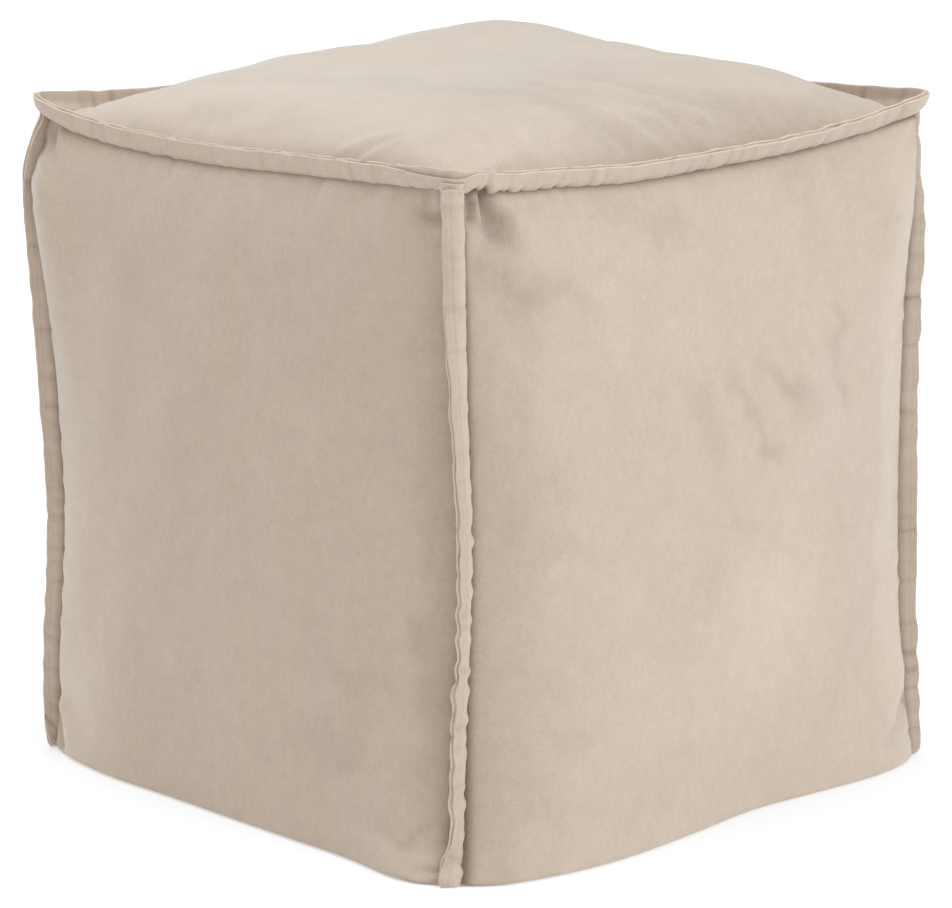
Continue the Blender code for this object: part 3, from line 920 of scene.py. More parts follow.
    def crown(self, across: Array, deep: Array) -> Array:
        """Rise of the top panel over its seams.

        Args:
            across: -1 to 1 along X, at even angles.
            deep: -1 to 1 along Y, at even angles.

        Returns:
            Metres for each pair.
        """
        x_part, y_part = self.spread(across), self.spread(deep)
        rise = self.crown_rise * self.fullness(across, deep) ** self.crown_sharpness
        return rise * (1 - self.crown_fall * (x_part**2 + y_part**2) - self.crown_twist * x_part * y_part)


# --- Meshes ---
def positions(mesh: bpy.types.Mesh) -> Array:
    """Reads the mesh's points.

    Args:
        mesh: The mesh.

    Returns:
        One row for each point.
    """
    flat = np.empty(len(mesh.vertices) * 3, np.float32)
    mesh.vertices.foreach_get("co", flat)
    return flat.reshape(-1, 3).astype(float)


def place_points(mesh: bpy.types.Mesh, points: Array) -> None:
    """Moves the mesh's points, given one row for each."""
    mesh.vertices.foreach_set("co", points.astype(np.float32).ravel())
    mesh.update()


def normals(mesh: bpy.types.Mesh) -> Array:
    """Reads the mesh's normals.

    Args:
        mesh: The mesh.

    Returns:
        One row for each point.
    """
    flat = np.empty(len(mesh.vertices) * 3, np.float32)
    mesh.vertex_normals.foreach_get("vector", flat)
    return flat.reshape(-1, 3).astype(float)


def mesh_object(name: str, shape: bmesh.types.BMesh) -> Piece:
    """A smooth-shaded object of a finished bmesh, which is freed.

    Args:
        name: The object's name.
        shape: Its mesh.

    Returns:
        The object, linked to the scene at the origin.
    """
    mesh = bpy.data.meshes.new(name)
    shape.to_mesh(mesh)
    shape.free()
    mesh.shade_smooth()
    made = bpy.data.objects.new(name, mesh)
    bpy.context.scene.collection.objects.link(made)
    return made


def cube_object(name: str, squares: int) -> Piece:
    """A cube from -1 to 1 along each axis, in small squares.

    Args:
        name: The object's name.
        squares: Squares along each edge.

    Returns:
        The object, linked to the scene at the origin.
    """
    shape = bmesh.new()
    bmesh.ops.create_cube(shape, size=2.0)
    bmesh.ops.subdivide_edges(shape, edges=shape.edges[:], cuts=squares - 1, use_grid_fill=True)
    return mesh_object(name, shape)


def add_nap_and_painted_light(mesh: bpy.types.Mesh, tones: Array) -> None:
    """Stores the tone at each point, which the velvet reads: the pile's marks together with painted shade
    and painted highlight.
    """
    layer = mesh.attributes.new("nap_and_painted_light", "FLOAT", "POINT")
    layer.data.foreach_set("value", tones.astype(np.float32))


# --- Finishes ---
class Value:
    """A shader number that can be used in Python expressions, each of which adds its Math node."""

    def __init__(self, graph: "Graph", socket: Socket) -> None:
        """Wraps a graph's socket that gives the number."""
        self.graph = graph
        self.socket = socket

    def math(self, operation: str, first: "Value | float", second: "Value | float" = 0.0) -> "Value":
        """The result of one Math node."""
        made = self.graph.node("ShaderNodeMath", {"operation": operation}, {0: first, 1: second})
        return Value(self.graph, made.outputs[0])

    def __add__(self, other: "Value | float") -> "Value":
        """Sum."""
        return self.math("ADD", self, other)

    def __radd__(self, other: float) -> "Value":
        """Sum with a plain number first."""
        return self.math("ADD", other, self)

    def __sub__(self, other: "Value | float") -> "Value":
        """Difference."""
        return self.math("SUBTRACT", self, other)

    def __rsub__(self, other: float) -> "Value":
        """Difference from a plain number."""
        return self.math("SUBTRACT", other, self)

    def __mul__(self, other: "Value | float") -> "Value":
        """Product."""
        return self.math("MULTIPLY", self, other)

    def __rmul__(self, other: float) -> "Value":
        """Product with a plain number first."""
        return self.math("MULTIPLY", other, self)

    def clamped(self) -> "Value":
        """The number held between 0 and 1."""
        return self.math("MINIMUM", self.math("MAXIMUM", self, 0.0), 1.0)


class Graph:
    """A material's nodes, made through one method."""

    def __init__(self, name: str) -> None:
        """Starts a material with its Principled shader.

        Args:
            name: The material's name.
        """
        self.material = bpy.data.materials.new(name)
        self.material.use_nodes = True
        self.tree = self.material.node_tree
        self.shader = self.tree.nodes["Principled BSDF"]

    def node(
        self,
        kind: str,
        settings: dict[str, object],
        inputs: dict[int | str, object],
    ) -> bpy.types.Node:
        """Adds one node.

        Args:
            kind: The node's type.
            settings: Its settings, set first.
            inputs: A value, a number or a link for each named or numbered socket.

        Returns:
            The node.
        """
        made = self.tree.nodes.new(kind)
        for name, value in settings.items():
            setattr(made, name, value)
        self.feed(made, inputs)
        return made

    def feed(self, node: bpy.types.Node, inputs: dict[int | str, object]) -> None:
        """Sets or links a node's input sockets.

        Args:
            node: The node.
            inputs: A value, a number or a link for each named or numbered socket.
        """
        for key, value in inputs.items():
            if isinstance(value, Value):
                self.tree.links.new(value.socket, node.inputs[key])
            elif isinstance(value, Socket):
                self.tree.links.new(value, node.inputs[key])
            else:
                node.inputs[key].default_value = value

    def noise(self, place: Socket, scale: float, detail: float) -> Value:
        """Soft noise of about -1 to 1, with so many bumps in a metre and so many finer layers."""
        made = self.node("ShaderNodeTexNoise", {}, {"Vector": place, "Scale": scale, "Detail": detail})
        return (Value(self, made.outputs["Fac"]) - 0.5) * 4.0

    def stretched(self, place: Socket, scale: tuple[float, float, float]) -> Socket:
        """The coordinates times the factor for each axis."""
        made = self.node("ShaderNodeMapping", {"vector_type": "POINT"}, {"Vector": place, "Scale": scale})
        return made.outputs["Vector"]


@dataclass(frozen=True)
class Velvet:
    """Short-pile velvet: two close tones, a soft sheen and a fine fleck, with painted shade and highlight
    from the stored tone.

    Attributes:
        name: The material's name.
        shade: The colour towards which painted shade takes it, deepest in a seam.
        light: The colour towards which pale pile and painted highlight take it.
        plain: Where its usual tone lies between the two.
        nap_and_light_depth: How strongly the pile's marks and the painted shade and highlight show.
        sheen: Weight of the pale edge that the pile catches.
        sheen_roughness: How wide that edge is.
        sheen_tint: The colour of that edge.
        roughness: Roughness of the cloth.
        uneven_roughness: How far the mottling and the marks change that.
        specular: How much the cloth shines.
        pile: Depth of the pile's bumps in metres.
        pile_strength: How strongly they show.
        drawn_out: Scale of the coordinates of the upright layer; under 1 draws it out.
        tufts: How many tufts fit in a metre, and how much they stand out.
        fibres: The same for the finer fibres.
        mottle_bump: How much the mottling's second layer stands out.
    """

    name: str
    shade: Colour = (0.180, 0.124, 0.084, 1.0)
    light: Colour = (0.747, 0.609, 0.491, 1.0)
    plain: float = 0.723
    nap_and_light_depth: float = 0.095
    sheen: float = 0.80
    sheen_roughness: float = 0.40
    sheen_tint: Colour = (1.0, 0.98, 0.95, 1.0)
    roughness: float = 0.86
    uneven_roughness: float = 0.02
    specular: float = 0.16
    pile: float = 0.00035
    pile_strength: float = 0.40
    drawn_out: tuple[float, float, float] = (1.0, 1.0, 0.65)
    tufts: tuple[float, float] = (1100.0, 0.14)
    fibres: tuple[float, float] = (2600.0, 0.40)
    mottle_bump: float = 0.20

    def build(self) -> bpy.types.Material:
        """Makes the material.

        Returns:
            The material, which reads Object coordinates and the piece's nap attribute.
        """
        graph = Graph(self.name)
        place = graph.node("ShaderNodeTexCoord", {}, {}).outputs["Object"]
        upright = graph.stretched(place, self.drawn_out)
        # The stored tone carries painted shade and painted highlight as well as the pile's marks.
        marks = graph.node("ShaderNodeAttribute", {"attribute_name": "nap_and_painted_light"}, {}).outputs["Fac"]
        nap_and_painted_light = Value(graph, marks)
        layers = [graph.noise(upright if row.upright else place, row.scale, row.detail) for row in MOTTLING]
        fibre = graph.noise(place, self.fibres[0], 1.0)
        tone = self.plain + nap_and_painted_light * self.nap_and_light_depth
        for row, layer in zip(MOTTLING, layers):
            tone = tone + layer * row.weight
        colour = graph.node(
            "ShaderNodeMix",
            {"data_type": "RGBA"},
            {"Factor": tone.clamped(), "A": self.shade, "B": self.light},
        )
        # The mottling's second layer shows in the pile's bumps as well.
        mottle = layers[1]
        tuft = graph.noise(place, self.tufts[0], 1.0)
        height = tuft * self.tufts[1] + fibre * self.fibres[1] + mottle * self.mottle_bump
        bump = graph.node(
            "ShaderNodeBump",
            {},
            {"Strength": self.pile_strength, "Distance": self.pile, "Height": height},
        )
        uneven = self.roughness + mottle * self.uneven_roughness - nap_and_painted_light * self.uneven_roughness
        graph.feed(
            graph.shader,
            {
                "Base Color": colour.outputs["Result"],
                "Roughness": uneven,
                "Normal": bump.outputs["Normal"],
                "Specular IOR Level": self.specular,
                "Sheen Weight": self.sheen,
                "Sheen Roughness": self.sheen_roughness,
                "Sheen Tint": self.sheen_tint,
            },
        )
        return graph.material


@dataclass(frozen=True)
class Thread:
    """Sewing thread, a little paler than the cloth.

    Attributes:
        name: The material's name.
        dark: Its colour between the strands.
        pale: Its colour on them.
        roughness: Roughness of the thread.
        uneven_roughness: How far the strands change that.
        strands: How many strands fit in a metre.
        contrast: How far the colour goes from one to the other.
        depth: Depth of the grooves between the strands.
        depth_strength: How strongly they show.
    """

    name: str = "sewing_thread"
    dark: Colour = (0.52, 0.42, 0.335, 1.0)
    pale: Colour = (0.68, 0.57, 0.465, 1.0)
    roughness: float = 0.6
    uneven_roughness: float = 0.05
    strands: float = 1800.0
    contrast: float = 0.4
    depth: float = 0.0001
    depth_strength: float = 0.4

    def build(self) -> bpy.types.Material:
        """Makes the material.

        Returns:
            The material, which reads Object coordinates.
        """
        graph = Graph(self.name)
        place = graph.node("ShaderNodeTexCoord", {}, {}).outputs["Object"]
        strand = graph.noise(place, self.strands, 1.0)
        tone = (0.5 + strand * self.contrast).clamped()
        colour = graph.node(
            "ShaderNodeMix",
            {"data_type": "RGBA"},
            {"Factor": tone, "A": self.dark, "B": self.pale},
        )
        bump = graph.node(
            "ShaderNodeBump",
            {},
            {"Strength": self.depth_strength, "Distance": self.depth, "Height": strand},
        )
        graph.feed(
            graph.shader,
            {
                "Base Color": colour.outputs["Result"],
                "Roughness": self.roughness + strand * self.uneven_roughness,
                "Normal": bump.outputs["Normal"],
            },
        )
        return graph.material


# --- The cushion ---
@dataclass(frozen=True)
class Gather:
    """Small puckers that a line of stitching pulls into the cloth beside it.

    Attributes:
        seed: Picks their places.
        depth: How deep they are.
        reach: How far from the seam they are deepest.
        spacing: Their usual distance from one to the next.
        patch: Shortest and longest stretch of the seam over which they come and go.
        usual: How strongly they show on the whole, of 1.
        patchy: How much of that comes and goes.
    """

    seed: int
    depth: float = 0.0008
    reach: float = 0.008
    spacing: float = 0.017
    patch: tuple[float, float] = (0.05, 0.16)
    usual: float = 0.45
    patchy: float = 0.6

    def relief(self, run: Array, away: Array) -> Array:
        """Relief of the puckers.

        Args:
            run: Metres along the seam.
            away: Metres from it.

        Returns:
            Metres outward at each point.
        """
        wave = Ripple(self.seed, 0.65 * self.spacing, 1.6 * self.spacing).at(run)
        shown = np.clip(self.usual + self.patchy * Ripple(self.seed + 1, *self.patch).at(run), 0.0, 1.2)
        onset = away / self.reach
        return self.depth * wave * shown * onset * np.exp(1 - onset)


@dataclass(frozen=True)
class Panel:
    """Some of the cushion's points, measured on their panel.

    Attributes:
        side: Which side, or None for the top and base panels.
        across: Metres from the panel's middle line.
        up: Metres over the floor, or from the top panel's middle along Y.
        scale: The length that a table's height of 1 stands for here.
        edge: 0 on the panel's seams and 1 in its middle.
        seams: Metres along each seam and away from it, a side's top seam first.
        shown: Which of the points aren't on the base.
    """

    side: Side | None
    across: Array
    up: Array
    scale: float
    edge: Array
    seams: tuple[tuple[Array, Array], ...]
    shown: Array

    def over_floor(self, hem: float) -> Array | float:
        """0 on the floor to 1 from the hem's height up, and 1 all over the top panel."""
        return 1.0 if self.side is None else ease(self.up / hem)


@dataclass
class Cushion:
    """The filled cushion: crowned top, swollen sides, flat base, all sewn to each other.

    Attributes:
        form: The pouf's form.
        squares: Squares along each edge of its mesh.
        unevenness: Depth of the filling's soft unevenness.
        lump: Shortest and longest wavelength of that.
        lump_fade: How steeply it grows from the seams.
        calm: Height over the floor below which the unevenness and the gathers fade.
        hem: Height over the floor below which the folds fade.
        onset: Distance from a seam within which a fold starts.
        seam_painted_shade: Painted shade in the draw-in right beside a seam, where the flanges shade the
            cloth.
        seam_reach: How far from the seam that is.
        seam_spill: Share of it that spills further over the panel.
        spill_reach: How many times further.
        trough_painted_shade: Painted shade for each metre of a trough's depth.
        ridge_highlight_share: Painted highlight on a ridge, as a share of that.
        mark_warp: How far the edges of the pile's marks and of the painted shade and highlight patches
            waver.
        velvet: Its finish.
    """

    form: PoufForm
    squares: int = 120
    unevenness: float = 0.0011
    lump: tuple[float, float] = (0.050, 0.170)
    lump_fade: float = 2.5
    calm: float = 0.02
    hem: float = 0.006
    onset: float = 0.004
    seam_painted_shade: float = -5.0
    seam_reach: float = 0.0035
    seam_spill: float = 0.15
    spill_reach: float = 2.6
    trough_painted_shade: float = 210.0
    ridge_highlight_share: float = 0.35
    mark_warp: float = 0.006
    velvet: Velvet = field(default_factory=lambda: Velvet("cushion_velvet"))

    def build(self) -> Piece:
        """Makes the cushion, dressed and riding on the frame.

        Returns:
            The cushion.
        """
        cushion = cube_object("cushion", self.squares)
        cube = positions(cushion.data)
        place_points(cushion.data, self.base_points(cube))
        relief, nap_and_painted_light = self.relief(cube, positions(cushion.data))
        place_points(cushion.data, positions(cushion.data) + normals(cushion.data) * relief[:, None])
        points = positions(cushion.data)
        points[:, 2] = np.maximum(points[:, 2], 0.0)
        place_points(cushion.data, points)
        add_nap_and_painted_light(cushion.data, nap_and_painted_light)
        cushion.data.materials.append(self.velvet.build())
        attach(cushion, "root")
        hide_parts("cushion_body")
        return cushion

    def masks(self, cube: Array) -> dict[Side | None, Array]:
        """Which points of the cube lie on each side; None stands for the top and base panels.

        Args:
            cube: Points of a cube from -1 to 1.

        Returns:
            A mask for each side.
        """
        edge = 1 - 1e-5
        found = {
            Side.FRONT: cube[:, 1] < -edge,
            Side.BACK: cube[:, 1] > edge,
        }
        between = ~(found[Side.FRONT] | found[Side.BACK])
        found[Side.LEFT] = between & (cube[:, 0] < -edge)
        found[Side.RIGHT] = between & (cube[:, 0] > edge)
        found[None] = between & ~(found[Side.LEFT] | found[Side.RIGHT])
        return found

    def base_points(self, cube: Array) -> Array:
        """Where the cube's points go on the filled form.

        Args:
            cube: Points of a cube from -1 to 1.

        Returns:
            One point each.
        """
        points = np.zeros_like(cube)
        for side, mask in self.masks(cube).items():
            x, y, z = cube[mask].T
            if side is None:
                points[mask] = self.form.panel(x, y, np.sign(z))
                points[mask, 2] += np.where(z > 0, self.form.crown(x, y), 0.0)
            else:
                points[mask] = self.form.side(side, y if side in (Side.LEFT, Side.RIGHT) else x, z)
        return points

    def panel(self, side: Side | None, cube: Array) -> Panel:
        """Measures points of one panel.

        Args:
            side: Which side, or None for the top and base panels.
            cube: Its points on a cube from -1 to 1.

        Returns:
            The measured points.
        """
        x, y, z = cube.T
        half = self.form.half_width
        if side is None:
            across, up = self.form.spread(x) * half, self.form.spread(y) * half
            seams = ((across, half + up), (across, half - up), (up, half + across), (up, half - across))
            return Panel(side, across, up, half, self.form.fullness(x, y), seams, z > 0)
        place = y if side in (Side.LEFT, Side.RIGHT) else x
        across = self.form.spread(place) * half
        up = self.form.height_on(side, place, z)
        rim = self.form.height_on(side, place, np.ones_like(place))
        edge = self.form.dome(place) * np.where(z > 0, self.form.dome(z), 1.0)
        seams = ((across, rim - up), (up, half + across), (up, half - across))
        return Panel(side, across, up, 1.0, edge, seams, np.ones(len(x), bool))

    def relief(self, cube: Array, points: Array) -> tuple[Array, Array]:
        """The folds, puckers and unevenness of the cloth, and the tone of its pile with painted shade and
        highlight.

        Args:
            cube: Points of a cube from -1 to 1.
            points: Where they are on the filled form.

        Returns:
            Metres along the normal, and the tone with its painted shade and highlight, for each point.
        """
        relief, nap_and_painted_light = np.zeros(len(cube)), np.zeros(len(cube))
        soft = Unevenness(3, *self.lump).at(points)
        for index, (side, mask) in enumerate(self.masks(cube).items()):
            panel = self.panel(side, cube[mask])
            folds = sum(self.form.fold(row, panel.across, panel.up, panel.scale) for row in FOLDS[side])
            whole = np.prod([ease(away / self.onset) for _, away in panel.seams], axis=0)
            total = folds * whole * panel.over_floor(self.hem)
            for step, (run, away) in enumerate(panel.seams):
                gathers = Gather(40 + 10 * index + 2 * step).relief(run, np.maximum(away, 0.0))
                total = total + gathers * panel.over_floor(self.calm)
            bumps = self.unevenness * soft[mask] * np.minimum(1.0, self.lump_fade * panel.edge)
            total = total + bumps * panel.over_floor(self.calm)
            relief[mask] = np.where(panel.shown, total, 0.0)
            nap_and_painted_light[mask] = np.where(panel.shown, self.tone(panel, folds, whole), 0.0)
        return relief, nap_and_painted_light

    def tone(self, panel: Panel, folds: Array, whole: Array) -> Array:
        """The tone of a panel: the pile's marks, painted shade in troughs and beside seams, and painted
        highlight on ridges.

        Args:
            panel: The panel's points.
            folds: Depth of its folds.
            whole: How far the folds show, 0 at the seams to 1.

        Returns:
            The tone at each point.
        """
        # Painted shade in the troughs and painted highlight on the ridges.
        sunk = np.minimum(folds, 0.0) + self.ridge_highlight_share * np.maximum(folds, 0.0)
        tone = self.marks(panel) + self.trough_painted_shade * sunk * whole
        # Painted shade along each seam, where the flanges shade the cloth.
        for step, (_, away) in enumerate(panel.seams):
            near = np.maximum(away, 0.0) / self.seam_reach
            dark = self.seam_painted_shade * (PANEL_LOOKS[panel.side].rim if step == 0 else 1.0)
            tone = tone + dark * (np.exp(-(near**2)) + self.seam_spill * np.exp(-near / self.spill_reach))
        return tone

    def marks(self, panel: Panel) -> Array:
        """The pile's marks on a panel, with the painted shade and painted highlight from the same table.

        Args:
            panel: The panel's points.

        Returns:
            The tone at each point.
        """
        # Each panel starts from its painted tone for the light on its side: darker on the front and left.
        total = np.full_like(panel.across, PANEL_LOOKS[panel.side].tone)
        flat = np.stack([panel.across, panel.up, 0 * panel.up], 1)
        warp = self.mark_warp * Unevenness(11, 0.02, 0.06).at(flat)
        for row in NAP_AND_PAINTED_LIGHT_MARKS[panel.side]:
            right = panel.across - row.place * self.form.half_width
            above = panel.up - row.height * panel.scale
            turn = np.radians(row.turn)
            length = (right * np.cos(turn) + above * np.sin(turn) + warp) / row.length
            width = (above * np.cos(turn) - right * np.sin(turn) + warp) / row.width
            total += row.tone * np.exp(-((length**2 + width**2) ** 1.5))
        return total


# --- The flanges ---
@dataclass(frozen=True)
class Nicks:
    """Short creases across a flange, where its cloth is nipped by the stitching.

    Attributes:
        seed: Picks their places.
        closest: Least distance from one to the next.
        widest: Greatest distance.
        half_width: Half the width of a crease.
    """

    seed: int
    closest: float = 0.009
    widest: float = 0.036
    half_width: float = 0.0015

    def at(self, run: Array) -> Array:
        """Reads the creases along the flange.

        Args:
            run: Distances along it.

        Returns:
            Their depth at each, 0 to 1.
        """
        rng = np.random.default_rng(self.seed)
        total = np.zeros_like(run)
        place = rng.uniform(0, self.widest)
        while place < run.max():
            depth = rng.uniform(0.2, 1.0) ** 1.6
            breadth = self.half_width * rng.uniform(0.7, 1.9)
            total = np.maximum(total, depth * np.exp(-(((run - place) / breadth) ** 2)))
            place += rng.uniform(self.closest, self.widest)
        return total


class SectionPoint(NamedTuple):
    """A point of a flange's section.

    share is its share of the flange's width, offset its distance from the middle line in shares of the
    thickness, rise what is added along the width in metres, and fold 1 on top of a folded edge, -1 in a
    groove and 0 on the flat.
    """

    share: float
    offset: float
    rise: float
    ply: Ply
    fold: int

    @property
    def flat(self) -> bool:
        """Whether it lies on the flat of its ply."""
        return self.fold == 0


@dataclass(frozen=True)
class Stations:
    """A flange's middle lines, and what the stitching does to it at each of them.

    Attributes:
        points: The middle lines, by station and step.
        out: Outward directions along them.
        run: Metres along the flange for each station.
        dents: Dents of the outer ply by station and step, in metres.
        drop: How far the outer ply's edge lies lower, at each station.
    """

    points: Array
    out: Array
    run: Array
    dents: Array
    drop: Array


@dataclass(frozen=True)
class Waver:
    """How unevenly a flange is sewn, at each of its stations.

    Attributes:
        thick: Its thickness.
        nicks: Depth of the short creases in each ply, 0 to 1.
        wander: How far its free edge wanders sideways.
        gape: How far its plies gape at their edges.
        puff: How far its outer ply swells out near its root.
        ripples: How far each ply's edge rises.
    """

    thick: Array
    nicks: dict[Ply, Array]
    wander: Array
    gape: Array
    puff: Array
    ripples: dict[Ply, Array]


@dataclass
class Flange:
    """A stand-up flange of two plies, stitched along its root.

    Attributes:
        form: The pouf's form.
        thickness: Thickness of both plies with their turnings.
        uneven_thickness: Share by which that varies.
        usual_width: Its usual width.
        bend_share: Share of its width within which it bends over to its lean.
        steps: Steps of its middle line from the root to the edge.
        flat_shares: Shares of its width at which the flats of its plies have points.
        edge_turns: Degrees round a folded edge at which that has points.
        groove: Depth of the groove beside a folded edge, as a share of the width.
        root_share: Its thickness at the root, as a share of the full one.
        seat: How deep its root sits in the seam.
        nick_depth: Depth of the short creases across it.
        inner_nicks: How many times deeper they are in the inner ply.
        wander: How far its free edge wanders sideways.
        wander_length: Usual length of that wander.
        gape: How far its plies gape at their edges.
        puff: How far its outer ply swells out near its root, between the stitches.
        puff_to: How far along the flange that goes on in full, before it fades.
        puff_fade: The length over which it fades.
        puff_parts: Shares of the width at which it starts and ends, each with its length.
        free_part: Share of the width at which the free edge's own forms start, and the share
            over which they grow.
        drop_part: The same for a dropped edge.
        dent_lift: How far a dent lifts the ply's lower edge, for each square metre of its depth.
        edge_painted_highlight: Painted highlight on its folded edges, where the pile catches the light.
        groove_painted_shade: Painted shade in the grooves.
        inner_painted_shade: Painted shade on the inner ply.
        nick_painted_shade: Painted shade in the short creases.
        inner_nick_shade: How many times darker that painted shade is in the inner ply.
        dent_painted_shade: Painted shade for each metre of a dent's depth.
    """

    form: PoufForm
    thickness: float = 0.0050
    uneven_thickness: float = 0.10
    usual_width: float = 0.0162
    bend_share: float = 0.6
    steps: int = 24
    flat_shares: tuple[float, ...] = (-0.05, 0.04, 0.12, 0.21, 0.31, 0.42, 0.53, 0.64, 0.75, 0.84)
    edge_turns: tuple[float, ...] = (8, 35, 63, 90, 117, 145, 172)
    groove: float = 0.035
    root_share: float = 0.78
    seat: float = 0.0008
    nick_depth: float = 0.0007
    inner_nicks: float = 1.7
    wander: float = 0.0004
    wander_length: float = 0.030
    gape: float = 0.00022
    puff: float = 0.0004
    puff_to: float = 9.0
    puff_fade: float = 0.08
    puff_parts: tuple[float, float, float, float] = (0.0, 0.12, 0.35, 0.45)
    free_part: tuple[float, float] = (0.45, 0.4)
    drop_part: tuple[float, float] = (0.3, 0.7)
    dent_lift: float = 480.0
    edge_painted_highlight: float = 1.1
    groove_painted_shade: float = 1.5
    inner_painted_shade: float = -0.7
    nick_painted_shade: float = 1.1
    inner_nick_shade: float = 2.2
    dent_painted_shade: float = 330.0

    @property
    def section(self) -> list[SectionPoint]:
        """The flange's section.

        Returns:
            Its points, up the outer ply, over the folded edges and down the inner ply.
        """
        flats = np.array(self.flat_shares)
        full = 0.5 * (self.root_share + (1 - self.root_share) * np.clip(flats / 0.3, 0, 1))
        points = [SectionPoint(*row, 0.0, Ply.OUTER, 0) for row in zip(flats, full)]
        for ply, row in LOBES.items():
            reach = row.radius * self.thickness / self.usual_width
            for angle in np.radians(self.edge_turns):
                offset = row.middle + row.radius * np.cos(angle)
                fold = 1 if abs(np.cos(angle)) < 0.6 else 0
                points.append(SectionPoint(1 - reach + reach * np.sin(angle), offset, row.rise, ply, fold))
            if ply is not Ply.INNER:
                beside = row.middle - row.radius
                points.append(SectionPoint(1 - reach - self.groove, beside, 0.5 * row.rise, ply, -1))
        return points + [SectionPoint(*row, 0.0, Ply.INNER, 0) for row in zip(flats[::-1], -full[::-1])]

    @property
    def shares(self) -> Array:
        """The share of the width of each point of the section, from 0."""
        return np.maximum([point.share for point in self.section], 0.0)

    def middle(
        self,
        root: Array,
        root_way: Array,
        side_way: Array,
        lean: Array,
        width: Array,
        start: float,
    ) -> Array:
        """Middle lines across the flange.

        Args:
            root: Where each station's line starts.
            root_way: The way that a lean of 0 points, at each station.
            side_way: The way that a lean of 90 points.
            lean: The lean at the edge, in degrees.
            width: The width at each station.
            start: The lean at the root, in degrees.

        Returns:
            Points by station and step.
        """
        shares = (np.arange(self.steps) + 0.5) / self.steps
        turn = ease(shares / self.bend_share)[None, :]
        angle = np.radians(start + (lean[:, None] - start) * turn)[..., None]
        way = np.cos(angle) * root_way[:, None] + np.sin(angle) * side_way[:, None]
        moves = np.cumsum(way * (width / self.steps)[:, None, None], 1)
        return root[:, None] + np.concatenate([np.zeros_like(moves[:, :1]), moves], 1)

    def waver(self, run: Array, seed: int) -> Waver:
        """Works out how unevenly the flange is sewn.

        Args:
            run: Metres along it for each station.
            seed: Picks the unevenness.

        Returns:
            The unevenness at each station.
        """
        outer_nicks = Nicks(seed + 1).at(run)
        loose = 1 - ramp(run, self.puff_to, self.puff_fade)
        swollen = 0.5 + 0.5 * Ripple(seed + 14, 0.010, 0.022).at(run)
        wander = Ripple(seed + 4, 0.6 * self.wander_length, 2.0 * self.wander_length).at(run)
        ripples = {
            ply: row.ripple * Ripple(seed + 8 + ply.value, 0.018, 0.070).at(run)
            for ply, row in LOBES.items()
        }
        return Waver(
            thick=self.thickness * (1 + self.uneven_thickness * Ripple(seed, 0.012, 0.05).at(run)),
            nicks={Ply.OUTER: outer_nicks, Ply.TURNINGS: outer_nicks, Ply.INNER: Nicks(seed + 2).at(run)},
            wander=self.wander * wander,
            gape=np.maximum(0.0, self.gape * Ripple(seed + 5, 0.04, 0.14).at(run)),
            puff=self.puff * swollen * loose,
            ripples=ripples,
        )

    def skin(self, stations: Stations, seed: int) -> tuple[Array, Array]:
        """The flange's surface round its section, at each station.

        Args:
            stations: The flange's stations.
            seed: Picks its unevenness.

        Returns:
            Points, and tones of the pile, by station and place round the section.
        """
        waver = self.waver(stations.run, seed)
        points = [self.place(stations, waver, point) for point in self.section]
        tones = [self.tone(stations, waver, point) for point in self.section]
        return np.stack(points, 1), np.stack(tones, 1)

    def step(self, point: SectionPoint) -> int:
        """The step of the middle line below a point of the section."""
        return min(int(np.clip(point.share, 0.0, 1.0) * self.steps), self.steps - 1)

    def dent(self, stations: Stations, point: SectionPoint) -> Array:
        """Depth of the dents at each station, which only the flat of the outer ply has."""
        dented = point.ply is Ply.OUTER and point.flat
        return stations.dents[:, self.step(point)] if dented else np.zeros_like(stations.run)

    def place(self, stations: Stations, waver: Waver, point: SectionPoint) -> Array:
        """Where one point of the section lies.

        Args:
            stations: The flange's stations.
            waver: How unevenly it is sewn.
            point: The point of the section.

        Returns:
            One point for each station.
        """
        share, lobe = point.share, point.ply.value
        low = self.step(point)
        part = np.clip(share, 0.0, 1.0) * self.steps - low
        middle = stations.points[:, low] * (1 - part) + stations.points[:, low + 1] * part
        root_way = unit(stations.points[:, 1] - stations.points[:, 0])
        middle = middle + root_way * min(share, 0.0) * self.usual_width
        side_way = unit(stations.out[:, low] * (1 - part) + stations.out[:, low + 1] * part)
        edge_way = unit(stations.points[:, -1] - stations.points[:, -3])
        high = ramp(share, *self.free_part)
        outside = 1.0 if point.ply is Ply.OUTER else 0.0
        between = 1.0 if point.ply is Ply.TURNINGS else 0.0
        nick = waver.nicks[point.ply] * self.nick_depth * (1.0 if point.offset * lobe > 0.2 else 0.3)
        nick = nick * (self.inner_nicks if point.ply is Ply.INNER else 1.0)
        dent = self.dent(stations, point)
        side = waver.thick * point.offset - lobe * nick - dent + waver.wander * max(share, 0.0)
        side = side + lobe * waver.gape * high
        swollen = ramp(share, *self.puff_parts[:2]) * (1 - ramp(share, *self.puff_parts[2:]))
        side = side + waver.puff * swollen * outside
        lift = self.dent_lift * dent**2 * (1 - ease(share / 0.5))
        lower = stations.drop * ramp(share, *self.drop_part) * outside
        lower = lower + between * point.rise * np.minimum(stations.drop / 0.002, 1.0)
        up_edge = (point.rise + waver.ripples[point.ply]) * high - lower
        return middle + times(side, side_way) + times(up_edge, edge_way) + times(lift, UP)

    def tone(self, stations: Stations, waver: Waver, point: SectionPoint) -> Array:
        """The painted shade and painted highlight at one point of the section.

        Args:
            stations: The flange's stations.
            waver: How unevenly it is sewn.
            point: The point of the section.

        Returns:
            The tone at each station.
        """
        inner = point.ply is Ply.INNER
        closed = 1 - np.minimum(stations.drop / 0.003, 1.0)
